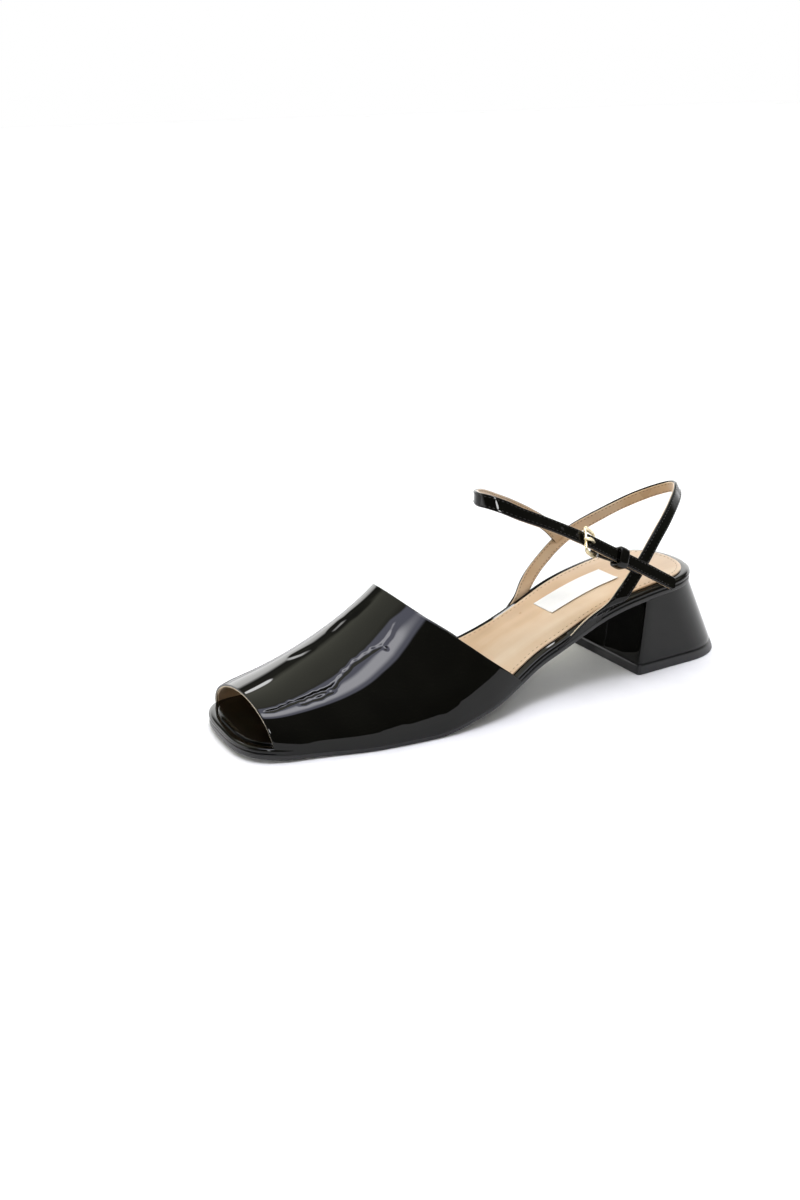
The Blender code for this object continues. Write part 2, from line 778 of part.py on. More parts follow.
def make_label(group, material):
    """Plain label on the sock, left blank."""
    centre_y = y_at(LABEL_CENTRE)

    def place(i, j):
        x = LABEL_SHIFT + (i - 0.5) * LABEL_WIDTH
        y = centre_y + (j / (LABEL_ROWS - 1) - 0.5) * LABEL_LENGTH
        return x, y, deck(along_at(y), LABEL_TOP)

    item = grid_object("label_patch", group, 2, LABEL_ROWS, place, material)
    solidify(item, LABEL_THICKNESS, -1.0)
    return item


def make_sole(parts, tools, black, rubber, tan):
    stops = rear_stops(0) + toe_stops(0) + middle_stops(rear_stops(0)[-1], toe_stops(0)[-1])
    outsole_stops = sorted_stops(stops)
    plate("outsole", parts, outsole_stops, lambda a, s: 0.0, OUTSOLE_THICKNESS,
          OUTSOLE_THICKNESS, OUTSOLE_THICKNESS * 0.25, rubber)
    toe_edge = 1.0 - (TOE_REVEAL - TOE_BOW) / SOLE_LENGTH
    seats = [toe_edge, toe_edge + SEAT_RAMP, STRAP_SEAT_REAR, STRAP_SEAT_REAR - SEAT_RAMP,
             STRAP_SEAT_FRONT, STRAP_SEAT_FRONT + SEAT_RAMP]
    for topline in (TOPLINE_OUTER, TOPLINE_INNER):
        seats += [topline - SEAT_RAMP / 2, topline - SEAT_RAMP * 1.5]
    plate("insole_board", parts, sorted_stops(stops + seats), board_inset, BOARD_TOP,
          BOARD_THICKNESS, BOARD_THICKNESS * 0.34, black)
    rear = rear_stops(SOCK_MARGIN)
    plate("insock", parts, sorted_stops(rear + middle_stops(rear[-1], SOCK_SPLIT)),
          lambda a, s: SOCK_MARGIN, SOCK_TOP, SOCK_THICKNESS, SOCK_THICKNESS * 0.3, tan)
    front = toe_stops(SOCK_MARGIN)
    split = SOCK_SPLIT + GAP / SOLE_LENGTH
    plate("toe_sock", parts, sorted_stops(front + even_stops(split, front[-1], SOLE_PITCH)),
          lambda a, s: SOCK_MARGIN, SOCK_TOP, SOCK_THICKNESS, SOCK_THICKNESS * 0.3, black)


def make_heel(parts, tools, black, rubber):
    top_piece = heel_slice("heel_top_piece", parts, 0.0, TOP_PIECE_THICKNESS, rubber)
    soften(top_piece, HEEL_EDGE_ROUND)
    smooth_shade(top_piece)
    block = heel_slice("heel_block", parts, TOP_PIECE_THICKNESS + GAP, SEAT_HEIGHT * 1.2, black)
    soften(block, HEEL_EDGE_ROUND)
    smooth_shade(block)
    cut_stops = sorted_stops(even_stops(HEEL_CUT_REAR, HEEL_CUT_FRONT, HEEL_CUT_PITCH))

    def place(i, j):
        along = cut_stops[j]
        return (i - 0.5) * HEEL_WIDTH * 1.4, y_at(along), deck(along, -GAP)

    seat = grid_object("heel_seat_cut", tools, 2, len(cut_stops), place, None)
    solidify(seat, SEAT_HEIGHT, 1.0)
    hide_tool(seat)
    boolean(block, seat, "DIFFERENCE")


def make_straps(parts, tools, black, gold):
    sling_points = [sling_end(SLING_END_INNER, -1)]
    sling_points += [strap_place(row) for row in SLING]
    sling_points += [sling_end(SLING_END_OUTER, 1)]
    sling_route = spline(sling_points, STRAP_PITCH)
    instep_route = spline([strap_place(row) for row in INSTEP], STRAP_PITCH)
    instep_frames = frames(instep_route, -1)
    straps = ribbon("ankle_straps", parts, sling_route, 1, black, ends=True)
    instep = ribbon("instep_strap", tools, instep_route, -1, black)
    hide_tool(instep)
    bar = StrapFrame(instep_route, instep_frames, BAR_PLACE)
    path = prong_path(bar)
    prong_room = cord_object("prong_room", tools, path, PRONG_WIRE / 2 + GAP, False, None)
    hide_tool(prong_room)
    tab, roll, bore, slot = make_tab(tools, instep_route, instep_frames, bar, black)
    hide_tool(slot)
    boolean(tab, roll, "UNION")
    boolean(tab, bore, "DIFFERENCE")
    boolean(tab, slot, "DIFFERENCE")
    boolean(straps, tab, "UNION")
    boolean(straps, instep, "UNION")
    boolean(straps, prong_room, "DIFFERENCE")
    make_buckle(parts, bar, gold)
    cord_object("buckle_prong", parts, path, PRONG_WIRE / 2, False, gold)
    keeper = StrapFrame(instep_route, instep_frames, KEEPER_PLACE)
    make_keeper(parts, tools, keeper, black)


def main():
    clear_scene()
    parts = collection("slingback_sandal")
    tools = collection("cutters")
    black = finish("black_patent", (0.004, 0.004, 0.004), 0.06)
    rubber = finish("black_rubber", (0.012, 0.012, 0.012), 0.35)
    tan = finish("tan_leather", (0.66, 0.46, 0.30), 0.45)
    white = finish("white_label", (0.88, 0.89, 0.90), 0.60)
    gold = finish("pale_gold", (0.62, 0.50, 0.30), 0.22, 1.0)
    make_sole(parts, tools, black, rubber, tan)
    make_label(parts, white)
    make_heel(parts, tools, black, rubber)
    make_vamp(parts, black)
    make_straps(parts, tools, black, gold)


main()
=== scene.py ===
import logging
import math
from dataclasses import dataclass
from enum import Enum
from typing import NamedTuple, Sequence

import bmesh
import bpy
import numpy as np
from mathutils import Matrix, Vector

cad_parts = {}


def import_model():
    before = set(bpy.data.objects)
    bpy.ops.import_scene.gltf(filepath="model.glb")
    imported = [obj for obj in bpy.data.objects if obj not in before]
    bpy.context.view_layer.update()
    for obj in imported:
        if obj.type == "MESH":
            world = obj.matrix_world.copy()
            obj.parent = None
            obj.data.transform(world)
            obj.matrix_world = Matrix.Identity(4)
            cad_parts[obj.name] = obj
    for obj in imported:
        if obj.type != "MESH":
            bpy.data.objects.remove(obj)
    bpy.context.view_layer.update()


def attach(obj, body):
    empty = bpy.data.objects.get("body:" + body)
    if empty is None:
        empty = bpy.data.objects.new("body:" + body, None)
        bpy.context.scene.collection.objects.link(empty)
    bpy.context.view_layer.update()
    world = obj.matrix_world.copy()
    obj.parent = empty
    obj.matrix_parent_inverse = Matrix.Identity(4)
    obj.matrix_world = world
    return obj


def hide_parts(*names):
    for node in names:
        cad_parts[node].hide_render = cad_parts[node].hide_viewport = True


LOG = logging.getLogger("sandal")
MM = 0.001
GAP = 0.3 * MM
WELD = 0.002 * MM
SLIVER = 0.001 * MM
SHARP_DEGREES = 50
ACROSS = np.linspace(-0.5, 0.5, 7)
UP = (0.0, 0.0, 1.0)


class Slot(Enum):
    """Material slots of the record."""

    PATENT = "black_patent"
    RUBBER = "black_rubber"
    TAN = "tan_leather"
    LABEL = "white_label"
    GOLD = "pale_gold"


class Side(Enum):
    """Side of the foot, as the sign of its X."""

    OUTER = 1
    INNER = -1


# Shapes that every piece uses


def smooth(stops: Sequence[float], values: Sequence[float], place: np.ndarray) -> np.ndarray:
    """Read a monotone cubic curve through the stops, with straight ends.

    Args:
        stops: Places of the known values, rising.
        values: The known values.
        place: Places to read the curve at.

    Returns:
        The curve's values at the places.
    """
    stops = np.asarray(stops, float)
    values = np.asarray(values, float)
    place = np.asarray(place, float)
    step = np.diff(stops)
    slope = np.diff(values) / step
    tangent = np.zeros(len(stops))
    for k in range(1, len(stops) - 1):
        if slope[k - 1] * slope[k] > 0:
            late = 2 * step[k] + step[k - 1]
            early = step[k] + 2 * step[k - 1]
            tangent[k] = (late + early) / (late / slope[k - 1] + early / slope[k])
    tangent[0] = slope[0]
    tangent[-1] = slope[-1]
    k = np.clip(np.searchsorted(stops, place) - 1, 0, len(stops) - 2)
    u = (place - stops[k]) / step[k]
    inside = ((1 + 2 * u) * (1 - u) ** 2 * values[k] + u * (1 - u) ** 2 * step[k] * tangent[k]
              + u * u * (3 - 2 * u) * values[k + 1] - u * u * (1 - u) * step[k] * tangent[k + 1])
    before = values[0] + tangent[0] * (place - stops[0])
    after = values[-1] + tangent[-1] * (place - stops[-1])
    return np.where(place < stops[0], before, np.where(place > stops[-1], after, inside))


def read(rows: Sequence[NamedTuple], name: str, place: np.ndarray) -> np.ndarray:
    """Read one named column of a table at places along its first column."""
    return smooth([row[0] for row in rows], [getattr(row, name) for row in rows], place)


def table(kind: type, *rows: tuple[float, ...]) -> tuple:
    """Name the columns of a table's rows."""
    return tuple(kind(*row) for row in rows)


def unit(vectors: np.ndarray) -> np.ndarray:
    """Scale the vectors of the last axis to a length of one."""
    return vectors / np.maximum(np.linalg.norm(vectors, axis=-1, keepdims=True), 1e-12)


def ease(share: np.ndarray) -> np.ndarray:
    """Turn a share that runs evenly from 0 to 1 into one that starts and stops softly."""
    return share * share * (3 - 2 * share)


def between(place: float, knots: np.ndarray, rows: np.ndarray) -> np.ndarray:
    """Read rows of three values at a place among their knots, in straight steps."""
    return np.array([np.interp(place, knots, rows[:, k]) for k in range(3)])


def spline(points: Sequence[Sequence[float]], pitch: float) -> np.ndarray:
    """Read a cubic curve through the points at an even pitch.

    Args:
        points: Rows whose first three values are a place; the others ride along.
        pitch: Distance between the rows that are read.

    Returns:
        The rows read, one per pitch.
    """
    data = np.array(points, float)
    chord = np.linalg.norm(np.diff(data[:, :3], axis=0), axis=1)
    knots = np.concatenate([[0.0], np.cumsum(chord)])
    tangent = np.zeros_like(data)
    tangent[1:-1] = (data[2:] - data[:-2]) / (knots[2:] - knots[:-2])[:, None]
    tangent[0] = (data[1] - data[0]) / chord[0]
    tangent[-1] = (data[-1] - data[-2]) / chord[-1]
    place = np.linspace(0.0, knots[-1], int(round(knots[-1] / pitch)) + 1)
    k = np.clip(np.searchsorted(knots, place) - 1, 0, len(chord) - 1)
    h = chord[k][:, None]
    u = (place - knots[k])[:, None] / h
    return ((1 + 2 * u) * (1 - u) ** 2 * data[k] + u * (1 - u) ** 2 * h * tangent[k]
            + u * u * (3 - 2 * u) * data[k + 1] - u * u * (1 - u) * h * tangent[k + 1])


def finished(name: str, work: bmesh.types.BMesh) -> bpy.types.Object:
    """Turn a working mesh into a smooth shaded object of the scene.

    Args:
        name: Name of the new object.
        work: Working mesh, which is used up.

    Returns:
        The new object.
    """
    mesh = bpy.data.meshes.new(name)
    work.to_mesh(mesh)
    work.free()
    mesh.shade_smooth()
    item = bpy.data.objects.new(name, mesh)
    bpy.context.scene.collection.objects.link(item)
    return item


def loft(name: str, rings: np.ndarray, capped: bool = True,
         joined: bool = False) -> bpy.types.Object:
    """Skin over a row of closed rings that hold the same number of points.

    Args:
        name: Name of the new object.
        rings: Array of rings by points by three.
        capped: Whether the first and the last ring are closed by a ladder of faces.
        joined: Whether the last ring joins the first.

    Returns:
        The new object, smooth shaded.
    """
    rings = np.asarray(rings, float)
    rows, around = rings.shape[:2]
    work = bmesh.new()
    verts = [[work.verts.new(point) for point in ring] for ring in rings]
    for j in range(rows if joined else rows - 1):
        below, above = verts[j], verts[(j + 1) % rows]
        for i in range(around):
            k = (i + 1) % around
            work.faces.new((below[i], below[k], above[k], above[i]))
    if capped and not joined:
        for ring in (verts[0], verts[-1]):
            for i in range(around // 2 - 1):
                work.faces.new((ring[i], ring[i + 1], ring[around - 2 - i], ring[around - 1 - i]))
    bmesh.ops.remove_doubles(work, verts=work.verts[:], dist=WELD)
    bmesh.ops.dissolve_degenerate(work, edges=work.edges[:], dist=SLIVER)
    bmesh.ops.recalc_face_normals(work, faces=work.faces[:])
    item = finished(name, work)
    item.data.set_sharp_from_angle(angle=math.radians(SHARP_DEGREES))
    return item


def strip_section(width: float, low: float, high: float, corner: float,
                  steps: int = 5) -> np.ndarray:
    """Section of a strip, over its upper face from left to right and back along the lower one.

    Args:
        width: Full width of the strip.
        low: Offset of its lower face.
        high: Offset of its upper face.
        corner: Radius of its four corners.
        steps: Points on each face between its corners.

    Returns:
        Points as pairs of across and outward offsets.
    """
    half = width / 2
    turns = np.radians(np.linspace(0, 90, 5))
    arc = np.column_stack([-half + corner * (1 - np.cos(turns)), corner * (1 - np.sin(turns))])
    flat = np.linspace(-half + corner, half - corner, steps + 2)[1:-1]
    face = np.vstack([arc, np.column_stack([flat, np.zeros(steps)]), arc[::-1] * (-1, 1)])
    upper = np.column_stack([face[:, 0], high - face[:, 1]])
    lower = np.column_stack([face[::-1, 0], low + face[::-1, 1]])
    return np.vstack([upper, lower])


def rounded_box(long: float, wide: float, corner: float,
                steps: int) -> list[tuple[float, float, float, float]]:
    """Outline of a rectangle with round corners.

    Args:
        long: Full length, along the first axis.
        wide: Full width, along the second axis.
        corner: Radius of its corners.
        steps: Points on each corner.

    Returns:
        Rows of the point's two places and the two parts of its outward direction.
    """
    rows = []
    for first, second, start in ((1, 1, 0), (-1, 1, 90), (-1, -1, 180), (1, -1, 270)):
        for turn in np.radians(start + np.linspace(0, 90, steps)):
            ahead, aside = math.cos(turn), math.sin(turn)
            rows.append((first * (long / 2 - corner) + corner * ahead,
                         second * (wide / 2 - corner) + corner * aside, ahead, aside))
    return rows


def tube(name: str, path: np.ndarray, radius: float, joined: bool = False,
         flatness: float = 1.0, flat_axis: Sequence[float] = UP) -> bpy.types.Object:
    """Bend a round or flattened rod along a path.

    Args:
        name: Name of the new object.
        path: Points of its middle line.
        radius: Half its thickness across the flat axis.
        joined: Whether the path is a closed ring.
        flatness: Thickness along the flat axis, as a share of the other.
        flat_axis: Direction in which the rod is flattened.

    Returns:
        The new object.
    """
    path = np.asarray(path, float)
    if joined:
        ahead = np.roll(path, -1, axis=0) - np.roll(path, 1, axis=0)
    else:
        ahead = np.gradient(path, axis=0)
    ahead = unit(ahead)
    axis = np.array(flat_axis, float)
    out = unit(axis - ahead * (ahead @ axis)[:, None])
    aside = np.cross(ahead, out)
    turns = np.linspace(0, 2 * math.pi, 16, endpoint=False)
    rings = (path[:, None, :] + radius * np.cos(turns)[None, :, None] * aside[:, None, :]
             + radius * flatness * np.sin(turns)[None, :, None] * out[:, None, :])
    if joined:
        return loft(name, rings, joined=True)
    ends = []
    for row, sign in ((0, -1.0), (-1, 1.0)):
        caps = [path[row] + (rings[row] - path[row]) * math.cos(turn)
                + sign * ahead[row] * radius * flatness * math.sin(turn)
                for turn in np.radians((30, 60, 80))]
        ends.append(caps)
    return loft(name, np.array(ends[0][::-1] + list(rings) + ends[1]))


def stitch_row(name: str, path: np.ndarray, out: np.ndarray, pitch: float, length: float,
               radius: float) -> bpy.types.Object:
    """Sew a row of separate stitches that lie along a path on a surface.

    Args:
        name: Name of the new object.
        path: Points of the seam on the surface.
        out: Surface normal at each point.
        pitch: Distance from one stitch to the next.
        length: Visible length of one stitch.
        radius: Half the thread's thickness.

    Returns:
        One object that holds all the stitches.
    """
    chord = np.linalg.norm(np.diff(path, axis=0), axis=1)
    knots = np.concatenate([[0.0], np.cumsum(chord)])
    # Share of the length, thickness and lift: the ends dip into the leather
    shape = ((-0.5, 0.25, -0.35), (-0.36, 0.8, 0.0), (0.0, 1.0, 0.1), (0.36, 0.8, 0.0),
             (0.5, 0.25, -0.35))
    turns = np.linspace(0, 2 * math.pi, 6, endpoint=False)
    work = bmesh.new()
    for middle in np.arange(pitch / 2, knots[-1] - length / 2, pitch):
        rings = []
        for share, swell, lift in shape:
            place = middle + share * length
            spot = between(place, knots, path)
            up = unit(between(place, knots, out))
            ahead = unit(between(place + 0.1 * MM, knots, path) - spot + 1e-12)
            aside = np.cross(ahead, up)
            rings.append([work.verts.new(spot + up * radius * lift + radius * swell
                                         * (math.cos(turn) * aside + math.sin(turn) * up))
                          for turn in turns])
        for below, above in zip(rings[:-1], rings[1:]):
            for i in range(len(turns)):
                k = (i + 1) % len(turns)
                work.faces.new((below[i], below[k], above[k], above[i]))
        work.faces.new(rings[0])
        work.faces.new(rings[-1])
    bmesh.ops.recalc_face_normals(work, faces=work.faces[:])
    return finished(name, work)


# Finishes


def linear(code: str) -> tuple[float, float, float, float]:
    """Turn an sRGB hex colour such as "#D8B48C" into linear red, green, blue and alpha.

    Args:
        code: Hex colour.

    Returns:
        Linear red, green, blue and alpha.
    """
    shares = [int(code[k:k + 2], 16) / 255 for k in (1, 3, 5)]
    red, green, blue = [c / 12.92 if c <= 0.04045 else ((c + 0.055) / 1.055) ** 2.4 for c in shares]
    return red, green, blue, 1.0


def add(tree: bpy.types.NodeTree, kind: str, settings: dict | None = None,
        links: dict | None = None) -> bpy.types.Node:
    """Add a node with its settings and its links.

    Args:
        tree: Node tree to add to.
        kind: Blender's name of the node type.
        settings: Values by input name or number, or by attribute name. The name "stops" holds
            a ramp's places with their hex or linear colours.
        links: Output sockets by the name or number of the input that each goes into.

    Returns:
        The new node.
    """
    item = tree.nodes.new(kind)
    for key, value in (settings or {}).items():
        if key == "stops":
            points = item.color_ramp.elements
            while len(points) < len(value):
                points.new(0.5)
            for point, (place, colour) in zip(points, value):
                point.position = place
                point.color = linear(colour) if isinstance(colour, str) else (*colour, 1.0)
        elif isinstance(key, int) or key in item.inputs:
            item.inputs[key].default_value = value
        else:
            setattr(item, key, value)
    for key, socket in (links or {}).items():
        tree.links.new(socket, item.inputs[key])
    return item


def per(length_mm: float) -> float:
    """Texture scale, in turns per metre, of a pattern that repeats at this many millimetres."""
    return 1000.0 / length_mm


class Finish:
    """A finish of the sandal: its own nodes, shown by one shader."""

    name: str

    def nodes(self, tree: bpy.types.NodeTree, place: bpy.types.NodeSocket) -> tuple[dict, dict]:
        """Add the finish's nodes.

        Args:
            tree: Node tree to add to.
            place: Object coordinates, in metres.

        Returns:
            The shader's settings and its links.
        """
        raise NotImplementedError

    def material(self) -> bpy.types.Material:
        """Build the material.

        Returns:
            The new material.
        """
        material = bpy.data.materials.new(self.name)
        material.use_nodes = True
        tree = material.node_tree
        tree.nodes.clear()
        place = add(tree, "ShaderNodeTexCoord").outputs["Object"]
        shader = add(tree, "ShaderNodeBsdfPrincipled", *self.nodes(tree, place))
        add(tree, "ShaderNodeOutputMaterial", links={"Surface": shader.outputs["BSDF"]})
        return material


@dataclass(frozen=True)
class PatentLeather(Finish):
    """Patent leather: hide under a poured, polished polyurethane film.

    The film mirrors the studio; below it the hide's slow swells make the mirror wander.
    """

    name: str = "patent_leather_poured_film"
    deep: str = "#020201"
    soft: str = "#060604"
    swell_mm: float = 13.0
    swell_height_mm: float = 0.020
    peel_mm: float = 2.4
    peel_height_mm: float = 0.0012

    def nodes(self, tree: bpy.types.NodeTree, place: bpy.types.NodeSocket) -> tuple[dict, dict]:
        """Add the finish's nodes.

        Args:
            tree: Node tree to add to.
            place: Object coordinates, in metres.

        Returns:
            The shader's settings and its links.
        """
        swell = add(tree, "ShaderNodeTexNoise", {"Scale": per(self.swell_mm), "Detail": 1.0,
                                                 "Roughness": 0.4}, {"Vector": place})
        peel = add(tree, "ShaderNodeTexNoise", {"Scale": per(self.peel_mm), "Detail": 2.0},
                   {"Vector": place})
        broad = add(tree, "ShaderNodeBump", {"Distance": self.swell_height_mm * MM},
                    {"Height": swell.outputs["Fac"]})
        fine = add(tree, "ShaderNodeBump", {"Distance": self.peel_height_mm * MM},
                   {"Height": peel.outputs["Fac"], "Normal": broad.outputs["Normal"]})
        colour = add(tree, "ShaderNodeValToRGB",
                     {"stops": ((0.35, self.deep), (0.70, self.soft))},
                     {"Fac": swell.outputs["Fac"]})
        gloss = add(tree, "ShaderNodeMapRange", {"From Min": 0.3, "From Max": 0.7, "To Min": 0.28,
                                                 "To Max": 0.40}, {"Value": peel.outputs["Fac"]})
        settings = {"Coat Weight": 1.0, "Coat Roughness": 0.015, "Coat IOR": 1.37, "IOR": 1.3,
                    "Specular IOR Level": 0.0}
        return settings, {"Base Color": colour.outputs["Color"],
                          "Roughness": gloss.outputs["Result"], "Normal": fine.outputs["Normal"],
                          "Coat Normal": fine.outputs["Normal"]}


@dataclass(frozen=True)
class LiningLeather(Finish):
    """Lining leather: tumbled calf, lightly waxed and rolled.

    Close pores and long soft streaks, partly the leather's own tone and partly painted sheen, with
    a low waxy shine.
    """

    name: str = "calf_lining_rolled_waxed"
    shade: str = "#AE9170"
    body: str = "#C0A381"
    light: str = "#CFBBA0"
    pore_mm: float = 0.55
    mottle_mm: float = 26.0
    # Stretch of the streaks along each axis; the lighter streaks are partly painted sheen
    streak_and_sheen_mm: tuple[float, float, float] = (9.0, 90.0, 90.0)
    roughness: tuple[float, float] = (0.26, 0.38)

    def nodes(self, tree: bpy.types.NodeTree, place: bpy.types.NodeSocket) -> tuple[dict, dict]:
        """Add the finish's nodes.

        Args:
            tree: Node tree to add to.
            place: Object coordinates, in metres.

        Returns:
            The shader's settings and its links.
        """
        stretch = add(tree, "ShaderNodeMapping",
                      {"Scale": [per(step) for step in self.streak_and_sheen_mm]}, {"Vector": place})
        streak_and_sheen = add(tree, "ShaderNodeTexNoise", {"Scale": 1.0, "Detail": 2.0, "Roughness": 0.45},
                     {"Vector": stretch.outputs["Vector"]})
        mottle = add(tree, "ShaderNodeTexNoise", {"Scale": per(self.mottle_mm), "Detail": 3.0,
                                                  "Roughness": 0.5}, {"Vector": place})
        pores = add(tree, "ShaderNodeTexVoronoi", {"Scale": per(self.pore_mm)}, {"Vector": place})
        blend = add(tree, "ShaderNodeMath", {"operation": "ADD"},
                    {0: streak_and_sheen.outputs["Fac"], 1: mottle.outputs["Fac"]})
        level = add(tree, "ShaderNodeMapRange", {"From Min": 0.60, "From Max": 1.40},
                    {"Value": blend.outputs["Value"]})
        # Colour from the streaks and the mottle: the lighter streaks are partly painted sheen
        colour = add(tree, "ShaderNodeValToRGB",
                     {"stops": ((0.0, self.shade), (0.45, self.body), (1.0, self.light))},
                     {"Fac": level.outputs["Result"]})
        gloss = add(tree, "ShaderNodeMapRange",
                    {"From Min": 0.3, "From Max": 0.7, "To Min": self.roughness[0],
                     "To Max": self.roughness[1]}, {"Value": mottle.outputs["Fac"]})
        soft = add(tree, "ShaderNodeBump", {"Distance": 0.05 * MM, "Strength": 0.5},
                   {"Height": streak_and_sheen.outputs["Fac"]})
        grain = add(tree, "ShaderNodeBump", {"Distance": 0.03 * MM, "Strength": 0.6},
                    {"Height": pores.outputs["Distance"], "Normal": soft.outputs["Normal"]})
        settings = {"IOR": 1.46, "Sheen Weight": 0.08, "Sheen Roughness": 0.5}
        return settings, {"Base Color": colour.outputs["Color"],
                          "Roughness": gloss.outputs["Result"], "Normal": grain.outputs["Normal"]}


@dataclass(frozen=True)
class Grained(Finish):
    """A plain solid stuff with a fine grain: moulded rubber, thread, cloth tape or a cut edge."""

    name: str
    dark: str
    light: str
    grain_mm: float
    grain_height_mm: float
    rough: tuple[float, float]
    sheen: float = 0.0

    def nodes(self, tree: bpy.types.NodeTree, place: bpy.types.NodeSocket) -> tuple[dict, dict]:
        """Add the finish's nodes.

        Args:
            tree: Node tree to add to.
            place: Object coordinates, in metres.

        Returns:
            The shader's settings and its links.
        """
        grain = add(tree, "ShaderNodeTexNoise", {"Scale": per(self.grain_mm), "Detail": 4.0,
                                                 "Roughness": 0.6}, {"Vector": place})
        cloud = add(tree, "ShaderNodeTexNoise", {"Scale": per(14.0), "Detail": 3.0},
                    {"Vector": place})
        colour = add(tree, "ShaderNodeValToRGB", {"stops": ((0.3, self.dark), (0.7, self.light))},
                     {"Fac": cloud.outputs["Fac"]})
        gloss = add(tree, "ShaderNodeMapRange",
                    {"From Min": 0.3, "From Max": 0.7, "To Min": self.rough[0],
                     "To Max": self.rough[1]}, {"Value": cloud.outputs["Fac"]})
        bump = add(tree, "ShaderNodeBump", {"Distance": self.grain_height_mm * MM},
                   {"Height": grain.outputs["Fac"]})
        settings = {"IOR": 1.5, "Sheen Weight": self.sheen}
        return settings, {"Base Color": colour.outputs["Color"],
                          "Roughness": gloss.outputs["Result"], "Normal": bump.outputs["Normal"]}


@dataclass(frozen=True)
class SatinTape(Finish):
    """Label tape: polyester satin, close woven, heat cut and left unprinted.

    Crossing threads, drawn at 0.6 mm rather than 0.2 mm so that they show.
    """

    name: str = "polyester_satin_woven"
    dark: str = "#D2D3D0"
    light: str = "#E0E0DC"
    thread_mm: float = 0.6

    def nodes(self, tree: bpy.types.NodeTree, place: bpy.types.NodeSocket) -> tuple[dict, dict]:
        """Add the finish's nodes.

        Args:
            tree: Node tree to add to.
            place: Object coordinates, in metres.

        Returns:
            The shader's settings and its links.
        """
        # A wave turns 20 radians per unit of scale, and a thread is half a wave
        scale = per(self.thread_mm) * math.pi / 20.0
        warp, weft = [add(tree, "ShaderNodeTexWave", {"bands_direction": way, "Scale": scale},
                          {"Vector": place}) for way in "XY"]
        cross = add(tree, "ShaderNodeMath", {"operation": "MULTIPLY"},
                    {0: warp.outputs["Fac"], 1: weft.outputs["Fac"]})
        cloud = add(tree, "ShaderNodeTexNoise", {"Scale": per(12.0), "Detail": 3.0},
                    {"Vector": place})
        colour = add(tree, "ShaderNodeValToRGB", {"stops": ((0.25, self.dark), (0.6, self.light))},
                     {"Fac": cloud.outputs["Fac"]})
        bump = add(tree, "ShaderNodeBump", {"Distance": 0.03 * MM, "Strength": 0.5},
                   {"Height": cross.outputs["Value"]})
        gloss = add(tree, "ShaderNodeMapRange", {"To Min": 0.42, "To Max": 0.62},
                    {"Value": cross.outputs["Value"]})
        settings = {"IOR": 1.5, "Sheen Weight": 0.2}
        return settings, {"Base Color": colour.outputs["Color"],
                          "Roughness": gloss.outputs["Result"], "Normal": bump.outputs["Normal"]}


@dataclass(frozen=True)
class PlatedCasting(Finish):
    """Buckle metal: zinc casting, tumbled smooth and electroplated pale gold.

    A clean bright metal whose tumbled surface is never quite flat.
    """

    name: str = "zinc_casting_pale_gold_plated"
    dark: str = "#D8C79B"
    light: str = "#F0E5C6"

    def nodes(self, tree: bpy.types.NodeTree, place: bpy.types.NodeSocket) -> tuple[dict, dict]:
        """Add the finish's nodes.

        Args:
            tree: Node tree to add to.
            place: Object coordinates, in metres.

        Returns:
            The shader's settings and its links.
        """
        cast = add(tree, "ShaderNodeTexNoise", {"Scale": per(1.6), "Detail": 2.0},
                   {"Vector": place})
        wear = add(tree, "ShaderNodeTexNoise", {"Scale": per(0.5), "Detail": 4.0},
                   {"Vector": place})
        colour = add(tree, "ShaderNodeValToRGB", {"stops": ((0.35, self.dark), (0.65, self.light))},
                     {"Fac": cast.outputs["Fac"]})
        gloss = add(tree, "ShaderNodeMapRange", {"From Min": 0.3, "From Max": 0.7, "To Min": 0.20,
                                                 "To Max": 0.34}, {"Value": wear.outputs["Fac"]})
        bump = add(tree, "ShaderNodeBump", {"Distance": 0.02 * MM},
                   {"Height": cast.outputs["Fac"]})
        settings = {"Metallic": 1.0}
        return settings, {"Base Color": colour.outputs["Color"],
                          "Roughness": gloss.outputs["Result"], "Normal": bump.outputs["Normal"]}


@dataclass(frozen=True)
class Finishes:
    """Every finish of the sandal, built once."""

    patent: bpy.types.Material
    strap_patent: bpy.types.Material
    lining: bpy.types.Material
    rubber: bpy.types.Material
    label: bpy.types.Material
    gold: bpy.types.Material
    black_thread: bpy.types.Material
    tan_thread: bpy.types.Material
    cut_edge: bpy.types.Material

    @staticmethod
    def build() -> "Finishes":
        """Build all the materials.

        Returns:
            The finishes.
        """
        # Moulded rubber: a closed, slightly shiny skin with a fine mould grain
        rubber = Grained("rubber_moulded", "#101011", "#18181A", 0.7, 0.012, (0.30, 0.42))
        # Bonded thread: waxed filament, nearly matte
        black = Grained("bonded_thread_black", "#080808", "#101010", 0.3, 0.01, (0.40, 0.55))
        tan = Grained("bonded_thread_taupe", "#6A543D", "#86704F", 0.3, 0.01, (0.50, 0.65), 0.2)
        # Raw leather edge: cut fibres, pale and matte
        edge = Grained("leather_cut_edge", "#CFBFA6", "#E6D9C4", 0.4, 0.03, (0.65, 0.80))
        # Patent leather of the straps: cut narrow, folded and stitched, so it lies less flat
        strap = PatentLeather("patent_leather_strap", swell_mm=5.0, swell_height_mm=0.030,
                              peel_mm=1.5, peel_height_mm=0.008)
        makers = (PatentLeather(), strap, LiningLeather(), rubber, SatinTape(), PlatedCasting(),
                  black, tan, edge)
        return Finishes(*(maker.material() for maker in makers))


def dress(item: bpy.types.Object, material: bpy.types.Material, slot: Slot, *nodes: str) -> None:
    """Give a piece its material, fix it to the frame, hide the nodes of the frame that it stands
    for, and log it.

    Args:
        item: Piece to dress.
        material: Its finish.
        slot: Slot of the record that it belongs to; not used.
        *nodes: Nodes of the frame that it stands for.
    """
    item.data.materials.clear()
    item.data.materials.append(material)
    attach(item, "root")
    if nodes:
        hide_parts(*nodes)
    LOG.info("%s: %d faces", item.name, len(item.data.polygons))


# The last, which every piece is laid out on


